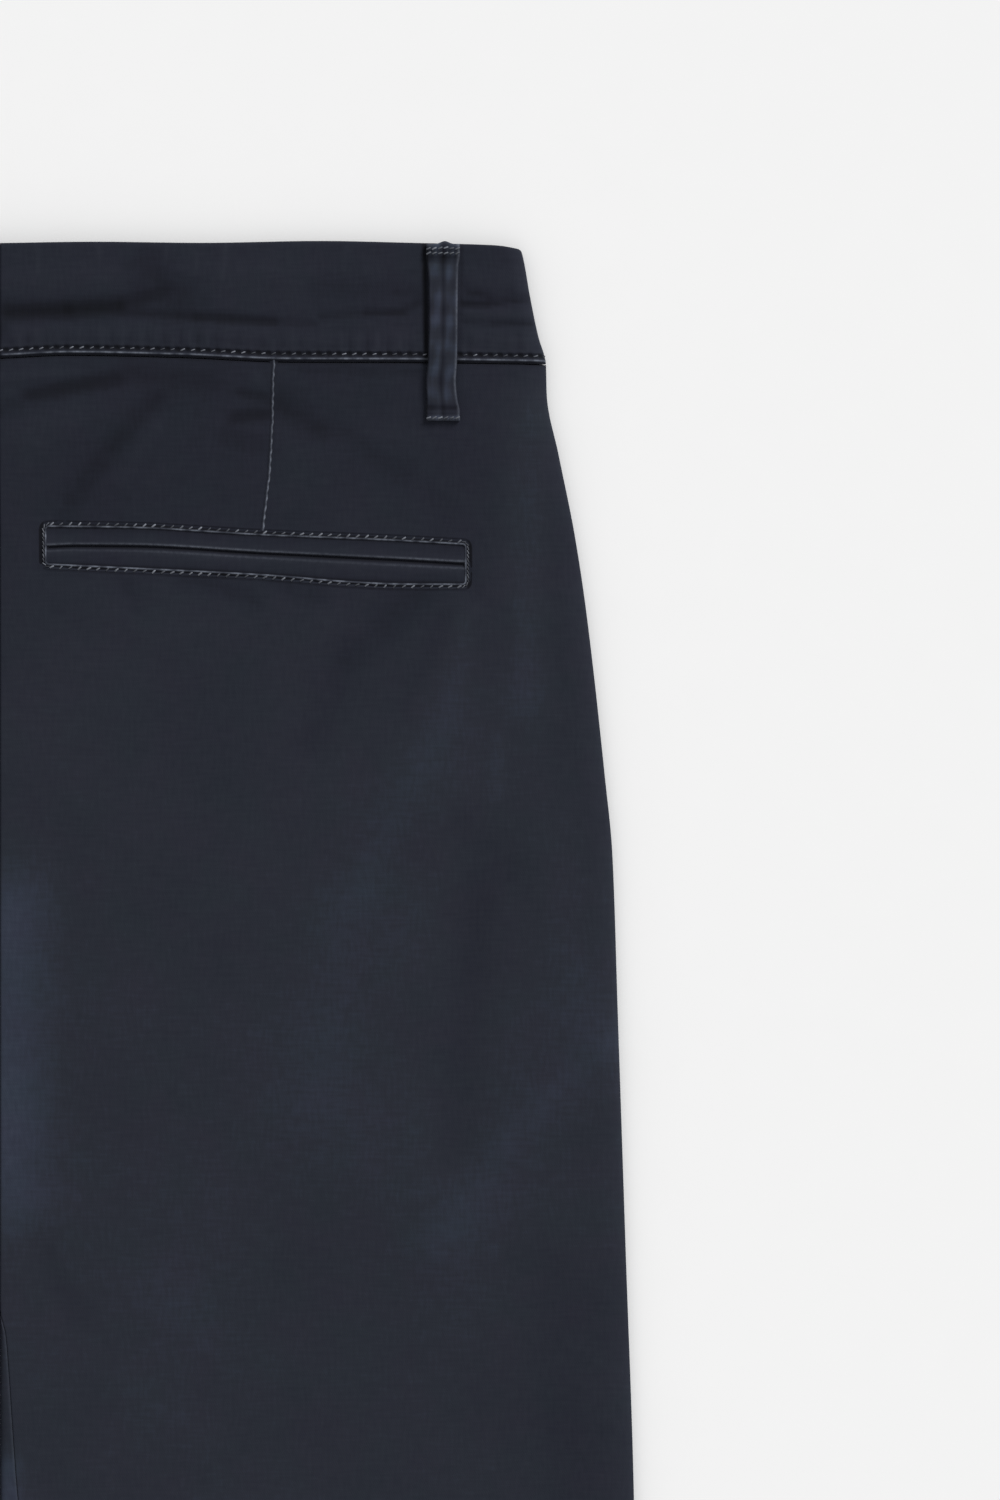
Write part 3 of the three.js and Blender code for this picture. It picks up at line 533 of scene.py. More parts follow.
def seam_following(seam, nominal):
    fade = 1 - smooth(FIRST_ROW, SEAM_WARP_END, nominal)
    return lambda x: nominal + (along(seam, "x", np.abs(x), "depth") + SEAM_GAP - FIRST_ROW) * fade


def cloth_at(depth):
    return mix(CLOTH, HEM_CLOTH, float(smooth(HEM_START - 1, HEM_START + 1, depth)))


def flat(x_from, x_to, face, depth_at, wall):
    x = np.linspace(x_from, x_to, max(2, int(abs(x_to - x_from) / SAMPLE) + 2))
    depth = depth_at(x)
    z = face(x, depth)
    return np.column_stack([x, depth, z, x, depth, z + wall])


def turn(centre, reach, wall, start, end, depth_at):
    """A quarter of an ellipse about a centre (x, z), with the inner face kept a wall away."""
    angle = np.linspace(start, end, TURN_SAMPLES)
    shrunk = [math.copysign(max(abs(r) - wall, THINNEST), r) for r in reach]
    x = centre[0] + reach[0] * np.cos(angle)
    depth = depth_at(x)
    z = centre[1] + reach[1] * np.sin(angle)
    inner_x = centre[0] + shrunk[0] * np.cos(angle)
    inner_z = centre[1] + shrunk[1] * np.sin(angle)
    return np.column_stack([x, depth, z, inner_x, depth, inner_z])


def laid_path(*stretches):
    """The stretches as one path, the distance walked to each point, and to the end of each stretch."""
    points = np.concatenate(stretches)
    steps = np.hypot(np.diff(points[:, 0]), np.diff(points[:, 2]))
    walked = np.concatenate([[0], np.cumsum(steps)])
    return points, walked, walked[np.cumsum([len(s) for s in stretches]) - 1]


def stations(ends, steps):
    parts = [np.linspace(low, high, count + 1)[1:] for low, high, count in zip(ends, ends[1:], steps)]
    return np.concatenate([ends[:1], *parts])


def spread(start, *stretches):
    """Rows down the garment: each stretch is the depth that it ends at and its step."""
    rows = [start]
    for end, step in stretches:
        count = max(1, round((end - rows[-1]) / step))
        rows.extend(np.linspace(rows[-1], end, count + 1)[1:])
    return rows


print("a turn has", TURN_SAMPLES, "points and a flat stretch one each", SAMPLE, "mm")

# %% [markdown]
# Cloth has two faces and an edge. The class below holds the paired points of one piece, softens its
# edges, and turns it into a closed mesh. Each mesh carries a UV map in metres along the cloth, so the
# twill follows the piece, and two values a point: how pale its worn lines are, where the lit edge of a
# belt loop also gets a painted highlight, and its tone, which is partly dye and partly painted shade and
# painted highlight.

# %% A piece of cloth
THIN_SHEET = 0.0105
SHARP_DEGREES = 50


def in_metres(points, side):
    return np.stack([side * points[..., 0], LENGTH / 2 - points[..., 1], points[..., 2]], axis=-1) * MM


def ring(first, second):
    """Each row goes across on the first face and back on the second."""
    return np.concatenate([first, second[:, ::-1]], axis=1)


class Cloth:
    """Rows of paired points, outer and inner, each as x, depth and height in mm."""

    def __init__(self, outer, inner, across=None, closed=False):
        self.outer, self.inner = np.array(outer, float), np.array(inner, float)
        self.closed = closed
        shape = self.outer.shape[:2]
        self.worn, self.tone = np.zeros(shape), np.zeros(shape)
        self.across = self.outer[..., 0] if across is None else np.array(across, float)
        self.down = self.outer[..., 1].copy()

    def distance_from(self, edge):
        axis = 0 if edge.endswith("row") else 1
        steps = np.linalg.norm(np.diff(self.outer, axis=axis), axis=2)
        pad = [(1, 0), (0, 0)] if axis == 0 else [(0, 0), (1, 0)]
        walked = np.pad(np.cumsum(steps, axis=axis), pad)
        return walked if edge.startswith("first") else walked.max(axis=axis, keepdims=True) - walked

    def soften(self, edge, radius, worn=0.0, worn_width=0.6, tone=0.0):
        """Rounds an edge of the outer face, wears it, and paints shade along it with its tone."""
        away = self.distance_from(edge)
        near = 1 - np.clip(away / radius, 0, 1)
        drop = radius * (1 - np.sqrt(np.clip(1 - near**2, 0, 1)))
        wall = np.maximum(np.linalg.norm(self.outer - self.inner, axis=2), 1e-6)
        share = np.minimum(drop / wall, 0.85)[..., None]
        self.worn += worn * np.exp(-(((away - 0.7 * radius) / worn_width) ** 2))
        self.tone += tone * np.exp(-((away / worn_width) ** 2))
        self.outer = mix(self.outer, self.inner, share)

    def flat_size(self):
        """Width, length and area of the piece laid flat, in metres, from its outer face."""
        width = self.distance_from("first_column").max() * MM
        length = self.distance_from("first_row").max() * MM
        down = self.outer[1:, :-1] - self.outer[:-1, 1:]
        over = self.outer[1:, 1:] - self.outer[:-1, :-1]
        area = np.linalg.norm(np.cross(down, over), axis=-1).sum() / 2 * MM * MM
        width, length = max(width, THIN_SHEET), max(length, THIN_SHEET)
        return width, length, min(area, width * length)

    def faces(self):
        rows, across = self.outer.shape[:2]
        ring = 2 * across
        i = np.arange(rows if self.closed else rows - 1)[:, None]
        k = np.arange(ring)[None, :]
        after, beside = (i + 1) % rows, (k + 1) % ring
        sides = np.stack(
            [i * ring + k, after * ring + k, after * ring + beside, i * ring + beside], axis=-1
        ).reshape(-1, 4)
        if self.closed:
            return sides
        j = np.arange(across - 1)
        first = np.stack([j, j + 1, ring - 2 - j, ring - 1 - j], axis=-1)
        return np.concatenate([sides, first, first[:, ::-1] + (rows - 1) * ring])

    def to_object(self, name, side, material):
        points = ring(in_metres(self.outer, side), in_metres(self.inner, side)).reshape(-1, 3)
        faces = self.faces()
        a, b, c, d = (points[faces[:, k]] for k in range(4))
        middle = points.mean(axis=0)
        if np.einsum("ij,ij->i", a + c - 2 * middle, np.cross(c - a, d - b)).sum() < 0:
            faces = faces[:, ::-1]
        mesh = bpy.data.meshes.new(name)
        mesh.from_pydata(points.tolist(), [], faces.tolist())
        on_cloth = np.stack([side * self.across, -self.down], axis=-1) * MM
        on_cloth = ring(on_cloth, on_cloth).reshape(-1, 2)
        corners = np.zeros(len(mesh.loops), int)
        mesh.loops.foreach_get("vertex_index", corners)
        mesh.uv_layers.new(name="cloth").data.foreach_set("uv", on_cloth[corners].ravel())
        for label, values in (("worn", self.worn), ("tone", self.tone)):
            values = ring(values, values).ravel()
            mesh.attributes.new(label, "FLOAT", "POINT").data.foreach_set("value", values)
        mesh.shade_smooth()
        mesh.set_sharp_from_angle(angle=math.radians(SHARP_DEGREES))
        mesh.materials.append(material)
        mesh.validate()
        piece = bpy.data.objects.new(name, mesh)
        bpy.context.collection.objects.link(piece)
        print(f"{name}: {len(faces) * 2} triangles")
        return piece


def cloth_from_paths(side, path_at, columns_at, rows):
    """A piece whose rows are paths across the garment, each picked at the same number of columns."""
    picked, starts = [], []
    for nominal in rows:
        points, walked, ends = path_at(side, nominal)
        places = columns_at(walked, ends, nominal)
        picked.append(np.column_stack([np.interp(places, walked, points[:, k]) for k in range(6)]))
        starts.append(places - places[0] + abs(points[0, 0]))
    picked = np.array(picked)
    return Cloth(picked[..., :3], picked[..., 3:], across=starts)


print("a sheet is measured by half of its closed shell")

# %% [markdown]
# ## The finish
#
# The cloth is a navy cotton twill that was dyed after sewing. Three effects are shared by all of it, so
# each is a shader node group: the diagonal ribs of the twill, the soft blotches and slubs of the dye, and
# the pale worn line on a fold, which on the lit edge of a belt loop is a painted highlight. A group puts
# out masks and heights only. The shader itself stays in each material. A small helper keeps the trees
# short: an input is either a plain value or another node's output, which it links.

# %% A helper for node trees
def fill(tree, node, inputs):
    """Fills or links the inputs of a node, which are named or numbered."""
    for key, value in inputs.items():
        if isinstance(value, bpy.types.NodeSocket):
            tree.links.new(value, node.inputs[key])
        else:
            node.inputs[key].default_value = value


def put(tree, kind, settings=None, inputs=None):
    """Adds a node, sets it and fills its inputs."""
    node = tree.nodes.new(kind)
    for name, value in (settings or {}).items():
        setattr(node, name, value)
    fill(tree, node, inputs or {})
    return node


def calculate(tree, operation, *values):
    return put(tree, "ShaderNodeMath", {"operation": operation}, dict(enumerate(values))).outputs[0]


def noise(tree, place, scale, detail):
    inputs = {"Vector": place, "Scale": scale, "Detail": detail}
    return put(tree, "ShaderNodeTexNoise", inputs=inputs).outputs[0]


def stretched(tree, place, scale):
    return put(tree, "ShaderNodeMapping", inputs={"Vector": place, "Scale": scale}).outputs[0]


def relief(tree, strength, distance, height):
    inputs = {"Strength": strength, "Distance": distance, "Height": height}
    return put(tree, "ShaderNodeBump", inputs=inputs).outputs[0]


def new_group(name, inputs, outputs):
    """An empty shader group with named inputs and outputs, and its input and output nodes."""
    tree = bpy.data.node_groups.new(name, "ShaderNodeTree")
    for label, (kind, value) in inputs.items():
        socket = tree.interface.new_socket(label, in_out="INPUT", socket_type=kind)
        if value is not None:
            socket.default_value = value
    for label in outputs:
        tree.interface.new_socket(label, in_out="OUTPUT", socket_type="NodeSocketFloat")
    return tree, tree.nodes.new("NodeGroupInput"), tree.nodes.new("NodeGroupOutput")


VECTOR, FLOAT = "NodeSocketVector", "NodeSocketFloat"
print("helpers for node trees are ready")

# %% [markdown]
# Twill is woven so that each weft thread passes one warp thread further over than the one before it,
# which leaves fine ribs on a slant. From a step away they only make the cloth look a little grained.
# The ribs are a sine wave across the slant, bent a little by noise, in the units of the UV map.

# %% The twill group
def twill_group():
    tree, given, result = new_group(
        "twill ribs",
        {"Vector": (VECTOR, None), "Rib spacing": (FLOAT, 0.0007), "Slant": (FLOAT, 1.1)},
        ("Height", "Thread tint"),
    )
    place, slant = given.outputs["Vector"], given.outputs["Slant"]
    split = put(tree, "ShaderNodeSeparateXYZ", inputs={0: place}).outputs
    along_rib = calculate(tree, "MULTIPLY", split["X"], calculate(tree, "SINE", slant))
    up_rib = calculate(tree, "MULTIPLY", split["Y"], calculate(tree, "COSINE", slant))
    across = calculate(tree, "ADD", along_rib, up_rib)
    bent = noise(tree, place, 900.0, 2.0)
    turns = calculate(tree, "DIVIDE", across, given.outputs["Rib spacing"])
    turns = calculate(tree, "ADD", turns, calculate(tree, "MULTIPLY", bent, 0.9))
    wave = calculate(tree, "SINE", calculate(tree, "MULTIPLY", turns, 2 * math.pi))
    warp = noise(tree, stretched(tree, place, (900, 160, 1)), 1.0, 3.0)
    weft = noise(tree, stretched(tree, place, (120, 800, 1)), 1.0, 3.0)
    fill(tree, result, {
        "Height": calculate(tree, "MULTIPLY_ADD", wave, 0.5, 0.5),
        "Thread tint": calculate(tree, "SUBTRACT", calculate(tree, "ADD", warp, weft), 1.0),
    })
    return tree


TWILL = twill_group()
print("group:", TWILL.name)

# %% [markdown]
# Dye takes unevenly in a drum. Large soft clouds and small blotches together give the faint mottle that
# shows on the plain parts of the legs. Noise on Object coordinates does this, because the clouds run
# over the seams without a break.

# %% The dye group
def dye_group():
    tree, given, result = new_group(
        "garment dye",
        {"Vector": (VECTOR, None), "Cloud size": (FLOAT, 0.05), "Blotch size": (FLOAT, 0.006)},
        ("Mottle", "Cast", "Creping"),
    )
    place, blotch_size = given.outputs["Vector"], given.outputs["Blotch size"]
    clouds = noise(tree, place, calculate(tree, "DIVIDE", 1.0, given.outputs["Cloud size"]), 3.0)
    blotches = noise(tree, place, calculate(tree, "DIVIDE", 1.0, blotch_size), 4.0)
    clouded = calculate(tree, "ADD", clouds, calculate(tree, "MULTIPLY", blotches, 0.6))
    elsewhere = put(tree, "ShaderNodeVectorMath", {"operation": "ADD"}, {0: place, 1: (3, 7, 1)})
    fill(tree, result, {
        "Mottle": calculate(tree, "SUBTRACT", clouded, 0.8),
        "Cast": noise(tree, elsewhere.outputs[0], calculate(tree, "DIVIDE", 0.3, blotch_size), 3.0),
        "Creping": blotches,
    })
    return tree


DYE = dye_group()
print("group:", DYE.name)

# %% [markdown]
# A fold's crest rubs against everything and loses its dye. Each mesh says how worn it is at each point,
# and on the lit edge of a belt loop the same mask also holds a painted highlight. This group breaks that
# up with fine noise, so a pale line is made of short flecks and isn't drawn with a ruler.

# %% The worn and lit edge group
def worn_and_lit_group():
    tree, given, result = new_group(
        "worn edge",
        {
            "Worn": (FLOAT, 0.0), "Vector": (VECTOR, None), "Fleck size": (FLOAT, 0.0012),
            "Breakup": (FLOAT, 0.5),
        },
        ("Mask",),
    )
    size = calculate(tree, "DIVIDE", 1.0, given.outputs["Fleck size"])
    flecks = noise(tree, given.outputs["Vector"], size, 2.0)
    lift = calculate(tree, "MULTIPLY", calculate(tree, "SUBTRACT", flecks, 0.5), 2.0)
    broken = calculate(tree, "MULTIPLY_ADD", lift, given.outputs["Breakup"], 1.0)
    mask = calculate(tree, "MULTIPLY", given.outputs["Worn"], broken)
    fill(tree, result, {"Mask": put(tree, "ShaderNodeClamp", inputs={0: mask}).outputs[0]})
    return tree


WORN_AND_LIT = worn_and_lit_group()
print("group:", WORN_AND_LIT.name)

# %% [markdown]
# The material joins the three. The colour comes from a ladder of navy tones, from the darkest crease to
# the palest place: the tone of the mesh, which is partly dye and partly painted shade and painted
# highlight, the mottle and the single threads pick the step. Folds go over to the pale worn colour, which
# on the lit edge of a belt loop is a painted highlight. Cotton is matt with a faint sheen from its fine
# fibre ends. The ribs and the creping are a low bump on top of the real creases.

# %% The cloth materials
# pale worn navy, which on the lit edge of the belt loops is a painted highlight
WORN_AND_LIT_NAVY = (0.135, 0.150, 0.185, 1)
VIOLET_CAST, TEAL_CAST = (1.1, 0.95, 1.04, 1), (0.9, 1.05, 0.98, 1)
TONE_LADDER = [
    (-2, (0.0032, 0.0036, 0.0062, 1)), (-1, (0.0085, 0.0095, 0.0155, 1)), (-0.5, (0.0131, 0.0151, 0.0238, 1)),
    (0, (0.0186, 0.0214, 0.0308, 1)), (0.5, (0.0262, 0.0324, 0.0500, 1)), (1, (0.0390, 0.0480, 0.0710, 1)),
    (2, (0.0900, 0.1050, 0.1450, 1)),
]


def mixed(tree, kind, amount, first, second):
    """A colour mix: amount, first and second are plain or linked."""
    settings = {"data_type": "RGBA", "blend_type": kind, "clamp_factor": False}
    return put(tree, "ShaderNodeMix", settings, {0: amount, 6: first, 7: second}).outputs[2]


def group_node(tree, group, inputs):
    return put(tree, "ShaderNodeGroup", {"node_tree": group}, inputs).outputs


def attribute(tree, name):
    return put(tree, "ShaderNodeAttribute", {"attribute_name": name}).outputs["Fac"]


def tone_colour(tree, tone):
    """The colour for a tone from -2, darkest, to 2, palest: pale navy is also bluer."""
    place = calculate(tree, "MULTIPLY_ADD", tone, 1 / 4, 1 / 2)
    ladder = put(tree, "ShaderNodeValToRGB", inputs={0: place})
    steps = ladder.color_ramp.elements
    for value, colour in TONE_LADDER[1:-1]:
        steps.new(value / 4 + 1 / 2)
    for step, (value, colour) in zip(steps, TONE_LADDER):
        step.position, step.color = value / 4 + 1 / 2, colour
    return ladder.outputs["Color"]


def new_material(name):
    """A material with its node tree, its shader and its place on the object."""
    material = bpy.data.materials.new(name)
    material.use_nodes = True
    tree = material.node_tree
    place = put(tree, "ShaderNodeTexCoord").outputs["Object"]
    return material, tree, tree.nodes["Principled BSDF"], place


def twill_cloth(name, dyed_tone, rib=0.0007):
    material, tree, shader, place = new_material(name)
    uv = put(tree, "ShaderNodeUVMap", {"uv_map": "cloth"}).outputs[0]
    ribs = group_node(tree, TWILL, {"Vector": uv, "Rib spacing": rib, "Slant": 1.1})
    dye = group_node(tree, DYE, {"Vector": place, "Cloud size": 0.045, "Blotch size": 0.005})
    worn = group_node(tree, WORN_AND_LIT, {
        "Worn": attribute(tree, "worn"), "Vector": place, "Fleck size": 0.0011, "Breakup": 1.1,
    })
    tone = calculate(tree, "ADD", attribute(tree, "tone"), dyed_tone)
    tone = calculate(tree, "MULTIPLY_ADD", dye["Mottle"], 0.5, tone)
    tone = calculate(tree, "MULTIPLY_ADD", ribs["Thread tint"], 0.5, tone)
    cast = mixed(tree, "MIX", dye["Cast"], VIOLET_CAST, TEAL_CAST)
    toned_navy = mixed(tree, "MULTIPLY", 1.0, tone_colour(tree, tone), cast)
    height = calculate(tree, "MULTIPLY_ADD", dye["Creping"], 0.8, ribs["Height"])
    fill(tree, shader, {
        "Base Color": mixed(tree, "MIX", worn["Mask"], toned_navy, WORN_AND_LIT_NAVY),
        "Roughness": calculate(tree, "MULTIPLY_ADD", dye["Creping"], 0.12, 0.76),
        "Normal": relief(tree, 0.13, 0.00012, height), "Specular IOR Level": 0.12,
        "Sheen Weight": 0.08, "Sheen Roughness": 0.45, "Sheen Tint": (0.72, 0.8, 1.0, 1),
    })
    return material


PANEL_CLOTH = twill_cloth("navy_twill", 0.0)
BAND_CLOTH = twill_cloth("waistband_twill", -0.42)
TRIM_CLOTH = twill_cloth("trim_twill", -0.12, rib=0.0006)
LOOP_CLOTH = twill_cloth("loop_twill", 0.12, rib=0.0006)
print("cloth materials:", PANEL_CLOTH.name, BAND_CLOTH.name, TRIM_CLOTH.name, LOOP_CLOTH.name)

# %% [markdown]
# The thread is spun polyester a shade darker than the cloth, and some stitches have rubbed pale. Each
# stitch carries its own shade, so one material does for all of them. The button is a satin resin with
# faint streaks, and the floor is plain white paper.

# %% Thread, button and floor materials
def thread_material():
    material, tree, shader, place = new_material("navy_thread")
    twist = noise(tree, place, 4000.0, 1.0)
    paleness = calculate(tree, "POWER", attribute(tree, "shade"), 2.2)
    paleness = calculate(tree, "MULTIPLY", paleness, calculate(tree, "MULTIPLY_ADD", twist, 1.2, 0.3))
    fill(tree, shader, {
        "Base Color": mixed(tree, "MIX", paleness, (0.012, 0.0145, 0.021, 1), (0.2, 0.215, 0.25, 1)),
        "Normal": relief(tree, 0.4, 0.00008, twist), "Roughness": 0.62, "Specular IOR Level": 0.3,
    })
    return material


def button_material():
    material, tree, shader, place = new_material("button_resin")
    streak = noise(tree, stretched(tree, place, (140, 700, 140)), 1.0, 4.0)
    fill(tree, shader, {
        "Base Color": mixed(tree, "MIX", streak, (0.008, 0.0095, 0.0145, 1), (0.022, 0.026, 0.037, 1)),
        "Roughness": calculate(tree, "MULTIPLY_ADD", streak, 0.2, 0.28),
    })
    return material


def floor_material():
    material, tree, shader, place = new_material("white_paper")
    grain = noise(tree, place, 60.0, 2.0)
    fill(tree, shader, {
        "Base Color": mixed(tree, "MIX", grain, (0.905, 0.905, 0.905, 1), (0.915, 0.915, 0.915, 1)),
        "Roughness": 1.0, "Specular IOR Level": 0.0,
    })
    return material


THREAD = thread_material()
floor.data.materials.append(floor_material())
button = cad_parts["waist_button"]
print("thread, button and floor have their materials")

# %% [markdown]
# ## The backs
#
# Each back is one panel from the waist seam to the hem. Its grid is finest where the photograph looks
# closely, at the seat and the pocket, and coarser down the leg. The panel follows the centre back seam
# and, below the crotch, the inseam on its inner side; on its outer side it rolls down to the side seam.

# %% Back panels
SIDE_SEAM_HEIGHT = 3.2
BACK_ROWS = {
    RIGHT: spread(
        FIRST_ROW, (45, 0.35), (132, 1.2), (482, 2), (1004, 4), (1008, 0.8), (1038, 5), (LENGTH, 0.5),
    ),
    LEFT: spread(FIRST_ROW, (45, 0.6), (132, 2), (482, 4), (1004, 6), (1008, 1), (1038, 6), (LENGTH, 0.7)),
}
BACK_COLUMNS = {RIGHT: (4, 7, 86, 8), LEFT: (3, 4, 50, 6)}
INNER_STRIPS = (0, 0.9, 9)
SEAM_ROUND = 0.55
INSEAM_ROUND = 0.2
HEM_EDGE = ("last_row", 0.8, 0.35)
WINDOW_SHADE = {"tone": -0.6, "reach": 1.5}


def back_path(side, nominal, face=back_cloth):
    depth_at = seam_following(BACK_SEAM, nominal)
    wall = cloth_at(nominal)
    start = float(back_inseam(depth_at(0.0))) + EDGE_GAP
    roll_x = float(outer_edge(depth_at(outer_edge(nominal)))) - BACK_ROLL
    seam_height = SIDE_SEAM_HEIGHT + SEAM_GAP
    rise = float(face(side, roll_x, depth_at(roll_x))) - seam_height
    return laid_path(
        flat(start, roll_x, lambda x, depth: face(side, x, depth), depth_at, -wall),
        turn((roll_x, seam_height), (BACK_ROLL, rise), wall, QUARTER, 0, depth_at),
    )


def back_columns(side):
    return lambda walked, ends, nominal: stations([*INNER_STRIPS, *ends], BACK_COLUMNS[side])


def sew_back(side):
    cloth = cloth_from_paths(side, back_path, back_columns(side), BACK_ROWS[side])
    x, depth = cloth.outer[..., 0], cloth.outer[..., 1]
    cloth.tone += crease_and_seat_tone(side, x, depth)
    cloth.tone += WINDOW_SHADE["tone"] * smooth(0, WINDOW_SHADE["reach"], inside_pocket(x, depth))
    # painted shade along the inseam and under the edge of the waistband
    cloth.soften("first_column", INSEAM_ROUND, tone=-0.25)
    cloth.soften("first_row", SEAM_ROUND, tone=-0.9)
    cloth.soften(*HEM_EDGE)
    return cloth


BACKS = both(sew_back)

# %% [markdown]
# ## The fronts
#
# The fronts lie on the floor. Above the crotch a front ends at the fly, and its slanted pocket edge cuts
# off its outer corner. Below the crotch it wraps round the inner leg and comes up onto the back, where
# the inseam shows as a fine pale worn line beside a line of painted shade.

# %% Front panels
INNER_FOLD_HEIGHT = 3.35
FLY_LAP = 6
FLY_LAP_END = {"low": 188, "high": 204}
SLANT = {"top": 62, "end": 200}
WRAP_START_REACH = 1.4
WRAP_SETTLED = 412
FOLD_STRIP, FOLD_MARGIN, FOLD_SHARE = 5.6, 0.6, 0.85
FRONT_ROWS = spread(
    FIRST_ROW, (45, 0.5), (200, 4), (368, 4), (400, 1), (482, 2), (1004, 5), (1008, 1), (1038, 6),
    (LENGTH, 0.7),
)
FRONT_COLUMNS = (12, 8, 40, 10)


def slant_inset(depth):
    return SLANT["top"] * float(np.clip((SLANT["end"] - depth) / (SLANT["end"] - FIRST_ROW), 0, 1))


def front_edge(side, depth):
    if side == RIGHT:
        return EDGE_GAP
    return mix(-FLY_LAP, EDGE_GAP, float(smooth(*FLY_LAP_END.values(), depth)))


def front_path(side, nominal):
    depth_at = seam_following(FRONT_SEAM, nominal)
    wall = cloth_at(nominal)
    start = front_edge(side, float(depth_at(0.0)))
    stretches = []
    if nominal > CROTCH_DEPTH:
        fold = float(along(INNER_FOLD, "depth", nominal, "x"))
        seam = float(back_inseam(nominal)) - EDGE_GAP
        top_reach = min(FRONT_ROLL, (seam - fold) * FOLD_SHARE)
        low_reach = mix(WRAP_START_REACH, FRONT_ROLL, float(smooth(CROTCH_DEPTH, WRAP_SETTLED, nominal)))
        top_x, low_x = fold + top_reach, fold + low_reach
        rise = float(back_face(side, top_x, nominal)) - INNER_FOLD_HEIGHT
        stretches = [
            flat(seam, top_x, lambda x, depth: back_face(side, x, depth), depth_at, -wall),
            turn((top_x, INNER_FOLD_HEIGHT), (-top_reach, rise), wall, QUARTER, 0, depth_at),
            turn((low_x, INNER_FOLD_HEIGHT), (-low_reach, -INNER_FOLD_HEIGHT), wall, 0, QUARTER, depth_at),
        ]
        start = low_x
    centre = float(outer_edge(depth_at(outer_edge(nominal)))) - FRONT_ROLL
    drop = float(front_face(side, centre, depth_at(centre))) - SIDE_SEAM_HEIGHT
    stretches.append(flat(start, centre, lambda x, depth: front_face(side, x, depth), depth_at, wall))
    stretches.append(turn((centre, SIDE_SEAM_HEIGHT), (FRONT_ROLL, drop), wall, QUARTER, 0, depth_at))
    return laid_path(*stretches)


def front_columns(walked, ends, nominal):
    wrapped = len(ends) > 2
    full = ends[2] if wrapped else 0
    cut = full * (1 - float(smooth(CROTCH_DEPTH, FULL_WRAP_DEPTH, nominal)))
    to_fold = ends[1] - cut if wrapped else 0
    first = cut + max(to_fold, FOLD_STRIP)
    second = max(first + FOLD_STRIP, full + FOLD_MARGIN)
    end = walked[-1] - slant_inset(nominal)
    flat_end = min(ends[-2], end - FRONT_ROLL)
    return stations([cut, first, second, flat_end, end], FRONT_COLUMNS)


def sew_front(side):
    cloth = cloth_from_paths(side, front_path, front_columns, FRONT_ROWS)
    below = smooth(CROTCH_DEPTH, WRAP_SETTLED, cloth.outer[..., 1])
    on_back = smooth(INNER_FOLD_HEIGHT, INNER_FOLD_HEIGHT + 1, cloth.outer[..., 2])
    cloth.tone += crease_and_seat_tone(side, cloth.outer[..., 0], cloth.outer[..., 1]) * below * on_back
    cloth.soften("first_column", INSEAM_ROUND, worn=0.1, worn_width=0.3)
    cloth.soften("last_column", SEAM_ROUND, worn=0.3)
    # painted shade along the seam under the waistband
    cloth.soften("first_row", SEAM_ROUND, tone=-0.5)
    cloth.soften(*HEM_EDGE)
    return cloth


FRONTS = both(sew_front)

# %% [markdown]
# Behind each slanted edge lies a facing, a strip of the same cloth that lines the pocket's mouth and
# meets the side seam. It starts under the front and comes down level with it.

# %% Front pocket facings
FACING_UNDERLAP = 9.6
FACING_END = 194
FACING_DROP = {"low": 2, "high": 24}
FACING_INSET = {"low": 146, "high": 170}
FACING_SPARE = 0.75
FACING_ROWS = spread(FIRST_ROW, (FACING_END, 3))
FACING_COLUMNS = (6, 20, 6)


def facing_path(side, nominal):
    depth_at = seam_following(FRONT_SEAM, nominal)
    low = float(smooth(*FACING_INSET.values(), nominal))
    behind = CLOTH + SEAM_GAP + FACING_SPARE * low
    edge = float(outer_edge(depth_at(outer_edge(nominal))))
    slant_x = edge - slant_inset(nominal)
    reach = FRONT_ROLL - behind * low
    centre = edge - FRONT_ROLL

    def level(x, depth):
        return front_face(side, x, depth) + behind * (1 - smooth(*FACING_DROP.values(), x - slant_x))

    drop = float(level(centre, depth_at(centre))) - SIDE_SEAM_HEIGHT
    return laid_path(
        flat(slant_x - FACING_UNDERLAP, centre, level, depth_at, CLOTH),
        turn((centre, SIDE_SEAM_HEIGHT), (reach, drop), CLOTH, QUARTER, 0, depth_at),
    )


def facing_columns(walked, ends, nominal):
    return stations([0, min(FACING_UNDERLAP, ends[0] / 2), ends[0], ends[1]], FACING_COLUMNS)


FACINGS = both(lambda side: cloth_from_paths(side, facing_path, facing_columns, FACING_ROWS))

# %% [markdown]
# ## Where the stitches lie
#
# The thread itself is sewn last, but the cloth has to know where it goes: between two stitches the thread
# dives through the cloth and leaves a small hollow, painted dark as its shade. Each kind of stitch has its
# sizes here, and a short function finds the middle between each two stitches of a row.

# %% Kinds of stitch
STITCH_SIZES = (
    "Pitch", "Stitch length", "Thread radius", "Arch", "Sink", "Lean", "Least rubbed", "Most rubbed",
)
STITCH_KINDS = {
    kind: dict(zip(STITCH_SIZES, sizes))
    for kind, *sizes in (
        ("topstitch", 3.5, 1.35, 0.25, 0.42, 0.1, 0.4, 0.35, 0.95),
        ("pocket", 3.2, 1.45, 0.31, 0.42, 0.08, 0.7, 0.45, 1),
        ("bar", 1.35, 1.5, 0.2, 0.42, 0.05, 0.35, 0.3, 0.9),
        ("tack", 1.75, 1.45, 0.3, 0.42, 0.05, 0.4, 0.5, 1),
    )
}


def nearest(values, wanted):
    return int(np.argmin(np.abs(np.asarray(values) - wanted)))


def picked_line(cloth, rows, columns):
    """Points of a piece and their outward directions, at whole or in-between rows and columns."""
    outer, inner = cloth.outer[rows, columns], cloth.inner[rows, columns]
    out = outer - inner
    return outer, out / np.linalg.norm(out, axis=-1, keepdims=True)


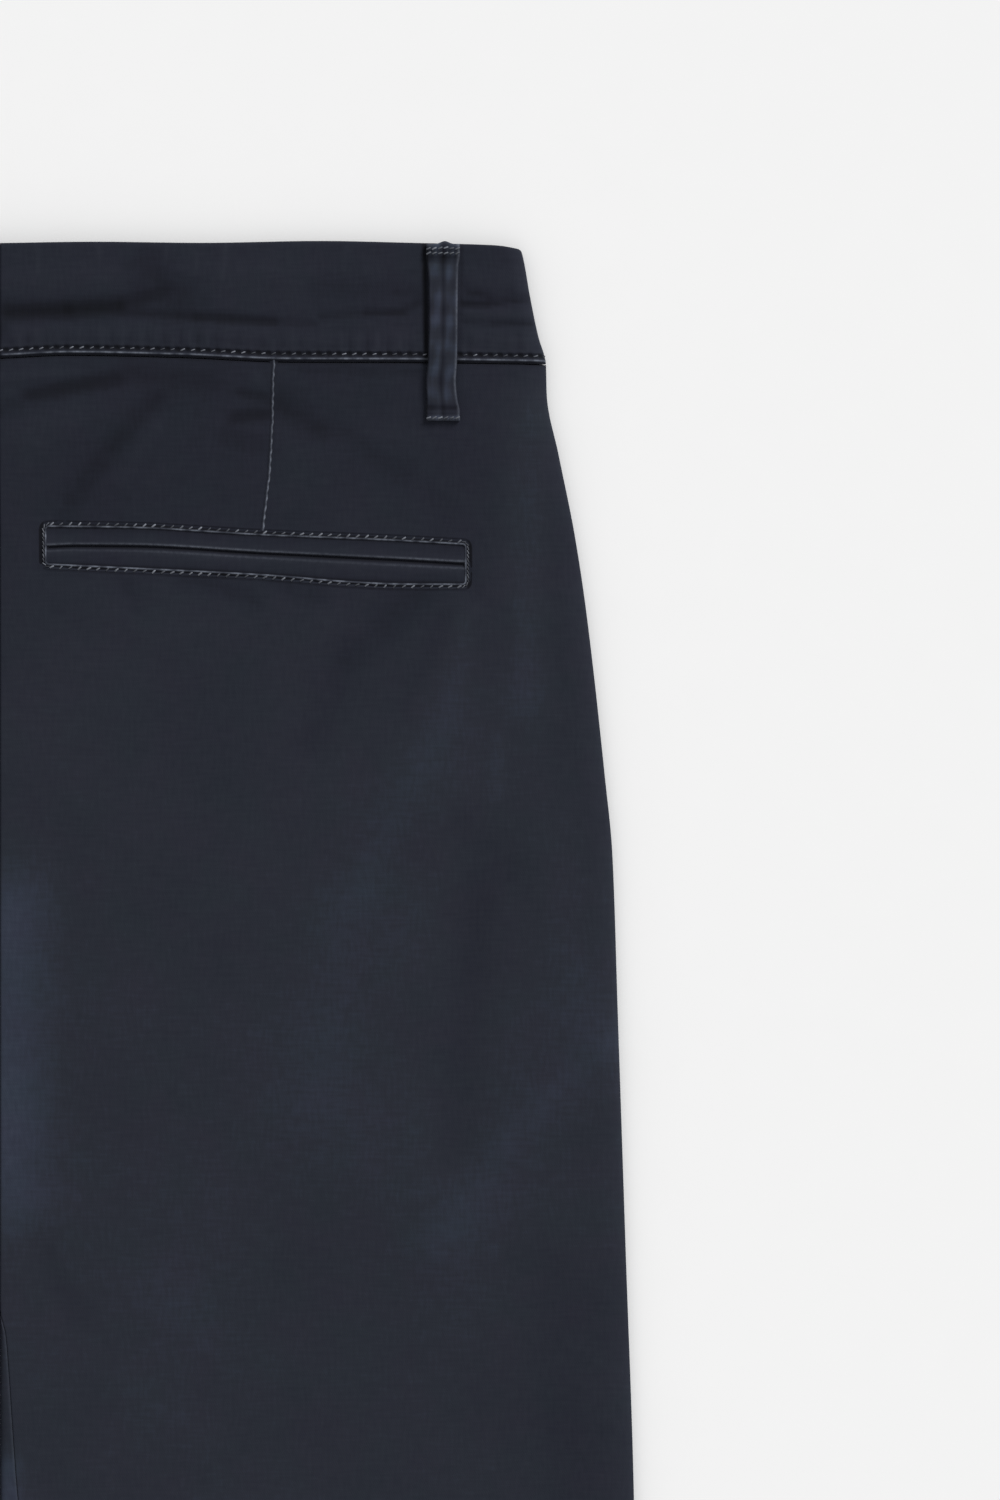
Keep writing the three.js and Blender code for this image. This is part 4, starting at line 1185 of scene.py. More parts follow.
def between_stitches(points, pitch):
    """1 midway between two stitches of a row along these points, and 0 at a stitch."""
    walked = np.concatenate([[0], np.cumsum(np.linalg.norm(np.diff(points, axis=0), axis=1))])
    spacing = walked[-1] / int(walked[-1] / pitch)
    return smooth(-0.5, 0.8, -np.cos(2 * math.pi * walked / spacing))


print("kinds of stitch:", ", ".join(STITCH_KINDS))

# %% [markdown]
# ## The waistband
#
# The waistband is two layers of twill with interlining, so it is thicker than the panels and stands a
# little proud of them. Its lower edge was pressed over and stitched: from the seam upwards there is a
# worn roll, then the groove of the stitching, then small puckers that the thread has drawn in. A table
# gives that profile, and the same rows run round the side and along the front.

# %% Sizes of the waistband
BAND_WALL = 1.8
BAND_ROLL = 6
BAND_FOLD_HEIGHT = 3.55
BAND_TAB, BAND_UNDERLAP = 18, 15
TAB_STEP = {"full": 24, "none": 38}
# the tone of the band's edge is painted shade at the seam and in the groove of the stitching
BAND_EDGE = table(
    "above rise worn tone",
    (0, -0.5, 0, -1.1), (0.45, -0.2, 0, -0.8), (0.8, 0.12, 0.35, -0.1), (1.05, 0.17, 1, 0.1),
    (1.3, 0.12, 0.35, -0.2), (1.6, -0.02, 0, -0.3), (2.1, -0.18, 0, -0.5), (2.8, -0.24, 0, -0.55),
    (3.4, -0.1, 0, -0.25), (3.9, 0.04, 0.04, 0.05), (5, 0.04, 0, 0), (9, 0, 0, 0),
)
STITCH_HOLE = {"above": 2.75, "reach": 0.8, "tone": -1.5, "rise": -0.16}
PUCKER = {"length": 6.6, "rise": 0.13, "tone": 0.34, "centre": 5.5, "reach": 4}
FRONT_EDGE_FADE = {"low": 150, "high": 130}
BAND_WEAR_START = {"low": 0.5, "high": 3}
BAND_SIDE_X = 187.0
BAND_LINES = [
    0, 0.2, 0.45, 0.65, 0.85, 1.05, 1.25, 1.45, 1.7, 2, 2.3, 2.6, 2.9, 3.2, 3.5, 3.9, 4.5, 5.3, 6.3, 7.5, 8.8,
    10.1, 11.4, 12.7, 14, 15.3, 16.6, 17.9, 19.2, 20.5, 22, 24, 26, 28, 30, 32, 34, 36, 37.8, 39, 39.8, 40.4,
    40.8, 41,
]
BAND_HEIGHT = BAND_LINES[-1]
BAND_STEPS = {RIGHT: (330, 14, 14, 60, 14), LEFT: (240, 12, 12, 60, 14)}
print("height of the waistband:", BAND_HEIGHT, "mm")

# %% [markdown]
# A row of the waistband starts at the centre back, turns round the side and ends in the tab or the
# underlap at the centre front. Where the thread dives, the cloth dips a little and gets painted shade.

# %% Waistband
def band_puckers(x, above):
    uneven = 0.6 + 0.4 * np.sin(x / 6.7 + 1) * np.sin(x / 15.3)
    wave = np.sin(2 * math.pi * x / PUCKER["length"] + 1.6 * np.sin(x / 9.1)) ** 3
    return wave * uneven * bell(above, PUCKER["centre"], PUCKER["reach"])


def band_face(side, x, depth, share):
    above = (1 - share) * BAND_HEIGHT
    edge = along(BAND_EDGE, "above", above, "rise")
    creases = crease_sum(WAIST_CREASES[side], x, depth, "rise")
    return along(BAND_FACES, "x", x, "back") + edge + creases + PUCKER["rise"] * band_puckers(x, above)


def band_front_face(side, x, share):
    away = np.abs(x)
    step = 1 - smooth(TAB_STEP["full"], TAB_STEP["none"], x) if side == RIGHT else 0
    edge = along(BAND_EDGE, "above", (1 - share) * BAND_HEIGHT, "rise")
    edge = edge * smooth(*FRONT_EDGE_FADE.values(), away)
    return along(BAND_FACES, "x", away, "front") + (BAND_WALL + SEAM_GAP) * step - edge


def band_path(side, share):
    def row(top, seam):
        return lambda x: mix(along(top, "x", np.abs(x), "depth"), along(seam, "x", np.abs(x), "depth"), share)

    back_row, front_row = row(BACK_TOP, BACK_SEAM), row(FRONT_TOP, FRONT_SEAM)
    roll_x = float(outer_edge(back_row(BAND_SIDE_X))) - BAND_ROLL
    rise = float(band_face(side, roll_x, back_row(roll_x), share)) - BAND_FOLD_HEIGHT
    drop = float(band_front_face(side, roll_x, share)) - BAND_FOLD_HEIGHT
    centre = (roll_x, BAND_FOLD_HEIGHT)
    end = -BAND_TAB if side == LEFT else -BAND_UNDERLAP

    def front(x, depth):
        return band_front_face(side, x, share)

    return laid_path(
        flat(EDGE_GAP, roll_x, lambda x, depth: band_face(side, x, depth, share), back_row, -BAND_WALL),
        turn(centre, (BAND_ROLL, rise), BAND_WALL, QUARTER, 0, back_row),
        turn(centre, (BAND_ROLL, drop), BAND_WALL, 0, QUARTER, front_row),
        flat(roll_x, TAB_STEP["none"], front, front_row, BAND_WALL),
        flat(TAB_STEP["none"], end, front, front_row, BAND_WALL),
    )


def band_columns(side):
    return lambda walked, ends, share: stations([0, *ends], BAND_STEPS[side])


def sew_waistband(side):
    shares = [1 - above / BAND_HEIGHT for above in reversed(BAND_LINES)]
    cloth = cloth_from_paths(side, band_path, band_columns(side), shares)
    above = (1 - np.array(shares))[:, None] * BAND_HEIGHT
    x, depth = cloth.outer[..., 0], cloth.outer[..., 1]
    on_back = (cloth.outer[..., 2] > BAND_FOLD_HEIGHT) * 1.0
    cloth.worn += along(BAND_EDGE, "above", above, "worn") * smooth(*BAND_WEAR_START.values(), x)
    cloth.tone += along(BAND_EDGE, "above", above, "tone")
    cloth.tone += on_back * crease_sum(WAIST_CREASES[side], x, depth, "tone")
    # the puckers' ridges get painted highlights and their hollows painted shade
    cloth.tone += PUCKER["tone"] * band_puckers(x, above)
    cloth.worn *= 0.7 + 0.3 * wandering(x, 1.1, 2, 3.3) - 0.25 * smooth(0.2, 0.9, np.sin(x / 7.7))
    # painted shade along the band's rolled top edge and in its centre back seam
    cloth.soften("first_row", 1.3, tone=-0.5, worn_width=0.9)
    cloth.soften("first_column", 0.5, tone=-0.4)
    cloth.soften("last_column", 0.5, worn=0.2)
    row = nearest(above[:, 0], STITCH_HOLE["above"])
    line = picked_line(cloth, row, np.arange(1, cloth.outer.shape[1] - 1))
    between = between_stitches(line[0], STITCH_KINDS["topstitch"]["Pitch"])
    hole = np.pad(between, 1, mode="edge") * bell(above, STITCH_HOLE["above"], STITCH_HOLE["reach"])
    cloth.tone += STITCH_HOLE["tone"] * hole
    out = cloth.outer - cloth.inner
    cloth.outer += out * (STITCH_HOLE["rise"] / BAND_WALL * hole)[..., None]
    return cloth, line


SEWN_BANDS = both(sew_waistband)
BANDS = {side: cloth for side, (cloth, line) in SEWN_BANDS.items()}
print("waistband rows:", len(BAND_LINES))

# %% [markdown]
# ## The back pockets
#
# A double-welt pocket is a slot cut in the back. Two strips are folded and sewn to its long sides, and
# their folds, the lips, meet in the middle. The edge of the slot is turned under and topstitched, so it
# stands up as a fine rim that has rubbed pale. Each is its own piece here: the two lips lie in the
# panel's dip, and the rim covers the edge of the dip.

# %% Sizes of the back pockets
SLIT_GAP = 0.55
LIP_WALL = 0.62
LIP_TONE = -0.26
LIP_LIFT = 0.12
LIP_TUCK = 0.7
LIP_ACROSS = 18
LIP_LONG = 150
LIP_BUNCH = 1.35
LIP_WAVE = 0.06
# the lips' tone is painted shade in the slit and where they run under the rim
LIP_PROFILES = {
    "upper": table(
        "share rise worn tone",
        (0, 0, 0, -1.6), (0.1, 0.03, 0, -1.2), (0.2, 0.08, 0, -0.35), (0.5, 0.16, 0, -0.05),
        (0.8, 0.24, 0, 0.1), (0.88, 0.26, 0.25, 0.1), (0.925, 0.22, 0.6, 0), (0.965, 0.08, 0.1, -0.8),
        (1, -0.3, 0, -1.8),
    ),
    "lower": table(
        "share rise worn tone",
        (0, -0.35, 0, -1.7), (0.05, -0.1, 0, -0.9), (0.1, 0.02, 0.02, -0.25), (0.16, 0.1, 0.2, 0.05),
        (0.24, 0.12, 0.04, 0), (0.6, 0.1, 0, 0), (0.78, 0.04, 0, -0.2), (0.88, 0, 0, -1.1),
        (1, 0, 0, -1.6),
    ),
}
# the rim's tone is painted shade inside its edge, beside its crest and round its stitches
RIM = table(
    "out rise worn tone",
    (-0.75, -1, 0, -1.8), (-0.45, -0.6, 0, -1.6), (-0.2, -0.05, 0.05, -0.9), (0.05, 0.26, 0.75, 0),
    (0.22, 0.32, 1, 0), (0.42, 0.24, 0.3, -0.3), (0.75, 0.06, 0, -1.1), (1.2, -0.04, 0, -1.3),
    (1.6, -0.02, 0, -0.9), (2.1, 0.03, 0, -0.4), (2.5, 0.02, 0, 0), (2.9, -0.12, 0, 0),
)
RIM_WALL = 0.7
RIM_CORNER = 1.0
RIM_SWELL = 0.22
RIM_END_START = {"low": 0.4, "high": 1.4}
RIM_STEPS = {"long": 290, "turn": 6, "short": 26}
RIM_OUTS = spread(RIM["out"][0], (RIM["out"][-1], 0.17))
RIM_STITCH = {"out": 0.95, "hole_out": 1.15, "hole_reach": 0.6, "hole_tone": -1.9}
RIM_ENDS = {"out": 2.1, "reach": 0.42, "tone": -1.4}
print("profiles of the lips:", ", ".join(LIP_PROFILES))

# %% [markdown]
# A lip is a strip between the slot's side and the slit. Its lines lie closer together towards the fold,
# where it curves most.

# %% Pocket lips
def lip_rows(side, which):
    profile = LIP_PROFILES[which]
    left, right = BACK_POCKET["x"][0] - LIP_TUCK, BACK_POCKET["x"][-1] + LIP_TUCK
    x = np.linspace(left, right, LIP_LONG + 1)
    slit = pocket_edge(x, "slit")
    share = np.linspace(0, 1, LIP_ACROSS + 1)[:, None]
    if which == "upper":
        start, end = pocket_edge(x, "top") - LIP_TUCK, slit - SLIT_GAP / 2
        share = 1 - (1 - share) ** LIP_BUNCH
    else:
        start, end = slit + SLIT_GAP / 2, pocket_edge(x, "bottom") + LIP_TUCK
        share = share**LIP_BUNCH
    depth = mix(start, end, share)
    x = np.broadcast_to(x, depth.shape)
    floor_z = back_face(side, x, depth) - POCKET_DIP + LIP_LIFT
    wave = LIP_WAVE * np.sin(x / 9 + 2 * share) * np.sin(x / 23 + 1)
    rise = LIP_WALL + along(profile, "share", share, "rise") + wave
    flat_points = np.stack([x, depth, floor_z], axis=-1)
    cloth = Cloth(flat_points + np.stack([0 * x, 0 * x, rise], axis=-1), flat_points)
    cloth.worn += along(profile, "share", share, "worn") * (0.75 + 0.25 * np.sin(x / 13 + 2))
    cloth.tone += along(profile, "share", share, "tone") + LIP_TONE
    return cloth


UPPER_LIPS = both(lambda side: lip_rows(side, "upper"))
LOWER_LIPS = both(lambda side: lip_rows(side, "lower"))
print("pocket window:", round(BACK_POCKET["x"][-1] - BACK_POCKET["x"][0], 1), "mm long")

# %% [markdown]
# The rim is a ring. Its path goes along the top of the window, down one end, back along the bottom and
# up the other end, at each of a few distances outside the window. Its two long sides get painted shade
# in the hollows of the stitches, and its two ends get painted shade beside the bars that are sewn there.

# %% Pocket rim
def rim_path(out):
    """The rim's path at a distance outside the window: along the top, down the far end, back and up."""
    left, right = BACK_POCKET["x"][0] + RIM_CORNER, BACK_POCKET["x"][-1] - RIM_CORNER
    x = np.linspace(left, right, RIM_STEPS["long"] + 1)
    top, bottom = pocket_edge(x, "top"), pocket_edge(x, "bottom")
    angle = np.linspace(0, QUARTER, RIM_STEPS["turn"] + 1)[1:-1]
    down = np.linspace(0, 1, RIM_STEPS["short"] + 1)
    over, along_turn = (RIM_CORNER + out) * np.sin(angle), (RIM_CORNER + out) * np.cos(angle)

    def end(middle_x, k, way):
        """The turn, the short side and the turn at one end, downwards."""
        high, low = top[k] + RIM_CORNER, bottom[k] - RIM_CORNER
        beside = np.full_like(down, middle_x + way * (RIM_CORNER + out))
        side = np.column_stack([beside, mix(high, low, down)])
        first = np.column_stack([middle_x + way * over, high - along_turn])
        last = np.column_stack([middle_x + way * over[::-1], low + along_turn[::-1]])
        return np.concatenate([first, side, last])

    return np.concatenate([
        np.column_stack([x, top - out]), end(right, -1, 1),
        np.column_stack([x, bottom + out])[::-1], end(left, 0, -1)[::-1],
    ])


def rim_stretches():
    """Which points of the rim's path belong to its top, its bottom and its two ends."""
    long, end = RIM_STEPS["long"] + 1, 2 * (RIM_STEPS["turn"] - 1) + RIM_STEPS["short"] + 1
    half, whole = long + end, 2 * (long + end)
    stretches = (2, long - 2), (half + 2, half + long - 2), (long, half), (half + long, whole)
    return [np.arange(first, last) for first, last in stretches]


def rim_lines(rim):
    column = nearest(RIM_OUTS, RIM_STITCH["out"])
    return [picked_line(rim, rows, column) for rows in rim_stretches()]


def sew_rim(side):
    paths = np.stack([rim_path(out) for out in RIM_OUTS], axis=1)
    x, depth = paths[..., 0], paths[..., 1]
    out = np.array(RIM_OUTS)[None, :]
    walked = np.cumsum(np.hypot(*np.diff(paths[:, 0], axis=0, prepend=paths[:1, 0]).T))[:, None]
    uneven = 1 + RIM_SWELL * np.sin(walked * 2 * math.pi / STITCH_KINDS["pocket"]["Pitch"])
    uneven = uneven + 0.15 * np.sin(walked / 7.3)
    rise = along(RIM, "out", out, "rise")
    z = back_face(side, x, depth) + np.where(rise > 0, rise * uneven, rise)
    outer = np.stack([x, depth, z], axis=-1)
    cloth = Cloth(outer, outer - [0, 0, RIM_WALL], across=walked + 0 * out, closed=True)
    cloth.down = depth[0, 0] + out + 0 * walked
    cloth.worn += along(RIM, "out", out, "worn") * (0.6 + 0.4 * wandering(walked, 1.3, 2, 4.1))
    cloth.tone += along(RIM, "out", out, "tone") + crease_and_seat_tone(side, x, depth)
    outside = np.maximum(BACK_POCKET["x"][0] - x, x - BACK_POCKET["x"][-1])
    at_end = smooth(*RIM_END_START.values(), outside)
    cloth.tone += RIM_ENDS["tone"] * at_end * bell(out, RIM_ENDS["out"], RIM_ENDS["reach"])
    hollow = bell(out, RIM_STITCH["hole_out"], RIM_STITCH["hole_reach"])
    for rows, (line, outward) in list(zip(rim_stretches(), rim_lines(cloth)))[:2]:
        between = between_stitches(line, STITCH_KINDS["pocket"]["Pitch"])[:, None]
        cloth.tone[rows] += RIM_STITCH["hole_tone"] * between * hollow
    return cloth


RIMS = both(sew_rim)
print("lines round the window:", len(RIM_OUTS))

# %% [markdown]
# A dart takes in cloth between the waistband and the pocket. What shows is one fine pressed fold, pale on
# its worn crest and painted dark, as shade, along the side it falls to. It is only a millimetre wide, so it
# is a narrow strip of its own that lies on the panel.

# %% Darts
DART = table("depth x", (41.5, 96), (60.5, 95.5), (75.2, 94.9), (87.5, 93.7), (98, 92.5), (101.5, 92))
DART_FOLD = table(
    "beside rise worn tone",
    (-1.6, -0.15, 0, 0), (-0.95, 0.02, 0, -0.1), (-0.45, 0.14, 0.1, -0.2), (-0.15, 0.28, 0.9, 0),
    (0.05, 0.28, 1, 0), (0.25, 0.08, 0.1, -0.7), (0.55, -0.02, 0, -1), (1.2, -0.15, 0, -0.2),
)
DART_WALL = 0.4
DART_WOBBLE = {"length": 3.3, "by": 0.1}
DART_ROPE = {"length": 3.1, "by": 0.35}
DART_TIP, DART_RUBBED = {"low": 78, "high": 92}, {"low": 55, "high": 92}
DART_END = {"low": 101, "high": 97}


def sew_dart(side):
    depth = np.array(spread(DART["depth"][0], (DART["depth"][-1], 0.6)))[:, None]
    beside = np.array(spread(DART_FOLD["beside"][0], (DART_FOLD["beside"][-1], 0.17)))[None, :]
    wobble = DART_WOBBLE["by"] * np.sin(depth * 2 * math.pi / DART_WOBBLE["length"])
    wobble = wobble + 0.12 * np.sin(depth / 2.1) * np.sin(depth / 5.7)
    x = along(DART, "depth", depth, "x") + wobble + beside
    depth = depth + 0 * beside
    rope = np.sin(depth * 2 * math.pi / DART_ROPE["length"]) * smooth(*DART_TIP.values(), depth)
    rope = 1 + DART_ROPE["by"] * rope
    rise = along(DART_FOLD, "beside", beside, "rise")
    z = back_cloth(side, x, depth) + np.where(rise > 0, rise * rope, rise)
    outer = np.stack([x, depth, z], axis=-1)
    cloth = Cloth(outer, outer - [0, 0, DART_WALL])
    flecked = 0.75 + 0.25 * np.sin(depth * 1.9 + np.sin(depth / 1.7))
    paleness = flecked * mix(0.7, 1, smooth(*DART_RUBBED.values(), depth)) * rope
    cloth.worn += along(DART_FOLD, "beside", beside, "worn") * paleness
    cloth.tone += along(DART_FOLD, "beside", beside, "tone") * smooth(*DART_END.values(), depth)
    cloth.tone += crease_and_seat_tone(side, x, depth)
    return cloth


DARTS = both(sew_dart)
print("dart:", round(DART["depth"][-1] - DART["depth"][0]), "mm long")

# %% [markdown]
# ## The belt loops
#
# A loop is a strip folded in three, with its two long edges rolled. The edge towards the light is pale,
# partly worn and partly a painted highlight, and the other edge is painted dark as shade. Its ends are
# turned under and tacked down, the upper one over the edge of the band and the lower one onto the panel.
# The tack pulls it narrow just below its top. The two on the front lie under the trousers and are pressed
# flat.

# %% Sizes of the belt loops
LOOP_WALL = 1.5
LOOP_LENGTH = 63
LOOP_THIN = 0.35
LOOP_ROUND, LOOP_SIDE_ROUND = 0.6, 0.5
LOOP_LIT, LOOP_SHADED_EDGE = {"low": -0.3, "high": 0.3}, {"low": 0.75, "high": 1}
LOOP_SHADE = -0.9
LOOP_PUCKER = {"rise": 0.1, "tone": 5}
LOOP_EDGES = table(
    "depth left right",
    (0, 149.2, 161), (5.5, 149.3, 161), (8.5, 149.6, 160.5), (16, 150.1, 160.3), (28, 150.1, 160.2),
    (42, 149.8, 160), (49, 149.1, 159.6), (56, 149.4, 160.2), (59.5, 149.1, 161), (63, 149.4, 161),
)
LOOP_TOP = {"edge": 1.3, "bulge": 1.1, "part": 0.1, "reach": 0.34, "end": 4}
LOOP_STAND = table("depth stand", (0, 0.4), (5.5, 0.25), (19, 0.7), (42, 0.8), (57, 0.4), (63, 0.35))
# at the turned ends, the tone is painted shade in the folds and a painted highlight on the ridges
LOOP_ENDS = table(
    "depth rise tone",
    (0, -0.15, -0.2), (1.6, 0.05, 0.1), (3.2, 0.05, -0.1), (3.9, -0.05, -0.6), (4.8, 0, -0.1),
    (6, -0.3, -0.9), (7.5, -0.2, -0.5), (9, 0, 0), (57, 0, 0), (58.8, -0.25, -0.9), (60, -0.1, -0.4),
    (60.8, -0.15, -0.7), (61.7, 0.05, 0.3), (62.4, 0.03, 0.2), (63, -0.1, -0.3),
)
# across a loop, the tone is painted shade along its middle and at its rolled edges, and a painted highlight
# on the flats between
LOOP_ACROSS = table(
    "part rise worn tone",
    (0, -0.16, 0, -0.95), (0.12, -0.08, 0, -0.4), (0.3, 0.03, 0, 0.15), (0.55, 0.04, 0, 0.1),
    (0.76, 0, 0, -0.15), (0.86, 0.08, 0.2, 0), (0.92, 0.1, 0.42, 0), (0.97, -0.02, 0.2, -0.3),
    (1, -0.3, 0, -0.8),
)
LOOP_GRID = {"rows": 126, "across": 24}
FRONT_LOOP = {"x": 85, "above": 0.7, "below": 21, "half": 6.2, "rows": 60, "across": 15}
print("back loops:", LOOP_LENGTH, "mm long")

# %% [markdown]
# A loop's columns crowd towards its two edges, where it curves. The edge that faces the side seam is the
# one towards the light: its pale worn line is partly a painted highlight, and the other edge is painted
# dark as its shade.

# %% Belt loops
def loop_relief(cloth, part, depth, puckers):
    away = np.abs(part)
    relief = along(LOOP_ACROSS, "part", away, "rise") + puckers
    # the pale line goes only on the edge towards the light, as a painted highlight, and the other edge gets
    # painted shade
    lit = smooth(*LOOP_LIT.values(), part)
    paleness = (0.75 + 0.25 * np.sin(depth / 3.7 + 2 * part)) * lit
    cloth.worn += along(LOOP_ACROSS, "part", away, "worn") * paleness
    shaded = (1 - lit) * smooth(*LOOP_SHADED_EDGE.values(), away)
    cloth.tone += along(LOOP_ACROSS, "part", away, "tone") + LOOP_SHADE * shaded
    return relief


def sew_back_loop(side):
    depth = np.linspace(0, LOOP_LENGTH, LOOP_GRID["rows"] + 1)[:, None]
    part = np.sin(np.linspace(-QUARTER, QUARTER, LOOP_GRID["across"] + 1))[None, :]
    left, right = (along(LOOP_EDGES, "depth", depth, name) for name in ("left", "right"))
    x = mix(left, right, (part + 1) / 2)
    top = LOOP_TOP["edge"] - LOOP_TOP["bulge"] * bell(part, LOOP_TOP["part"], LOOP_TOP["reach"])
    depth = depth + top * (1 - smooth(0, LOOP_TOP["end"], depth))
    seam = along(BACK_SEAM, "x", x, "depth")
    on_band = along(BAND_FACES, "x", x, "back") + crease_sum(WAIST_CREASES[side], x, depth, "rise")
    below = smooth(seam - 0.5, seam + 6, depth)
    under = mix(on_band, back_face(side, x, depth), below) + along(LOOP_STAND, "depth", depth, "stand")
    inner = np.stack([x, depth, under], axis=-1)
    cloth = Cloth(inner, inner)
    puckers = LOOP_PUCKER["rise"] * np.sin(depth / 1.9 + 2.5 * part + side)
    puckers = puckers * np.sin(depth / 4.7 - 3 * part)
    relief = loop_relief(cloth, part, depth, puckers) + along(LOOP_ENDS, "depth", depth, "rise")
    cloth.outer[..., 2] += LOOP_WALL - LOOP_THIN + relief
    # painted shade and highlights at the turned ends, and on the puckers, whose ridges get painted highlights
    # and hollows painted shade
    cloth.tone += along(LOOP_ENDS, "depth", depth, "tone") + LOOP_PUCKER["tone"] * puckers
    cloth.soften("first_row", LOOP_ROUND, worn=0.1)
    cloth.soften("last_row", LOOP_ROUND, worn=0.25)
    cloth.soften("first_column", LOOP_SIDE_ROUND)
    cloth.soften("last_column", LOOP_SIDE_ROUND)
    return cloth


def sew_front_loop(side):
    x = FRONT_LOOP["x"]
    top = float(along(FRONT_TOP, "x", x, "depth")) - FRONT_LOOP["above"]
    bottom = float(along(FRONT_SEAM, "x", x, "depth")) + FRONT_LOOP["below"]
    part = np.sin(np.linspace(-QUARTER, QUARTER, FRONT_LOOP["across"]))[None, :]
    depth = np.linspace(top, bottom, FRONT_LOOP["rows"])[:, None] + 0 * part
    x = FRONT_LOOP["x"] + part * FRONT_LOOP["half"] + 0 * depth
    inner = np.stack([x, depth, np.full_like(x, LOOP_WALL)], axis=-1)
    cloth = Cloth(inner, inner)
    relief = loop_relief(cloth, part, depth, 0)
    cloth.outer[..., 2] = np.maximum(0, 0.1 - relief)
    for edge in ("first_row", "last_row"):
        cloth.soften(edge, LOOP_ROUND, worn=0.5)
    return cloth


BACK_LOOPS = both(sew_back_loop)
FRONT_LOOPS = both(sew_front_loop)
print("belt loops:", len(BACK_LOOPS) + len(FRONT_LOOPS))

# %% [markdown]
# ## From sections to finished pieces
#
# Each piece of cloth now becomes a mesh with its material. The fine piece stands for its CAD node, which
# stays hidden for the collision checks. Its flat size is read from its own surface, because cloth that
# is laid and creased keeps the area that it was cut to.

# %% Make the cloth pieces
def sheet_of(cloth, piece, node):
    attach(piece, "root")
    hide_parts(node)
    width, length, area = cloth.flat_size()
    print(f"{node}: cut {width * 1000:.0f} by {length * 1000:.0f} mm, {area * 1e4:.0f} square cm")


def trim_of(cloth, name, side):
    piece = cloth.to_object(name, side, TRIM_CLOTH)
    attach(piece, "root")
    return piece


CUT_PIECES = (
    ("back", BACKS, "back_cloth", PANEL_CLOTH), ("front", FRONTS, "front_cloth", PANEL_CLOTH),
    ("facing", FACINGS, "front_facing_cloth", PANEL_CLOTH), ("band", BANDS, "waistband_cloth", BAND_CLOTH),
    ("back loop", BACK_LOOPS, "belt_loop_back_cloth", LOOP_CLOTH),
    ("front loop", FRONT_LOOPS, "belt_loop_front_cloth", LOOP_CLOTH),
    ("upper lip", UPPER_LIPS, "back_pocket_upper_lip_cloth", TRIM_CLOTH),
    ("lower lip", LOWER_LIPS, "back_pocket_lower_lip_cloth", TRIM_CLOTH),
)
pieces = {}
for side, word in SIDE_NAMES.items():
    for key, cloths, name, material in CUT_PIECES:
        pieces[key, side] = cloths[side].to_object(f"{name}_{word}", side, material)
    pieces["rim", side] = trim_of(RIMS[side], f"back_pocket_rim_{word}", side)
    pieces["dart", side] = trim_of(DARTS[side], f"dart_fold_{word}", side)
print("cloth pieces:", len(pieces))

# %% [markdown]
# ## Stitches
#
# A lockstitch shows as short bits of thread with a needle hole at each end. Geometry Nodes suits it: a
# line on the cloth is cut into points one stitch apart, a small bent thread is set on each point, turned
# to the line and to the cloth's own direction, and leans a little at random. The line carries the
# cloth's outward direction as a value called up.

# %% The stitch tree
STITCH_SIDES = 6
STITCH_BENDS = 5


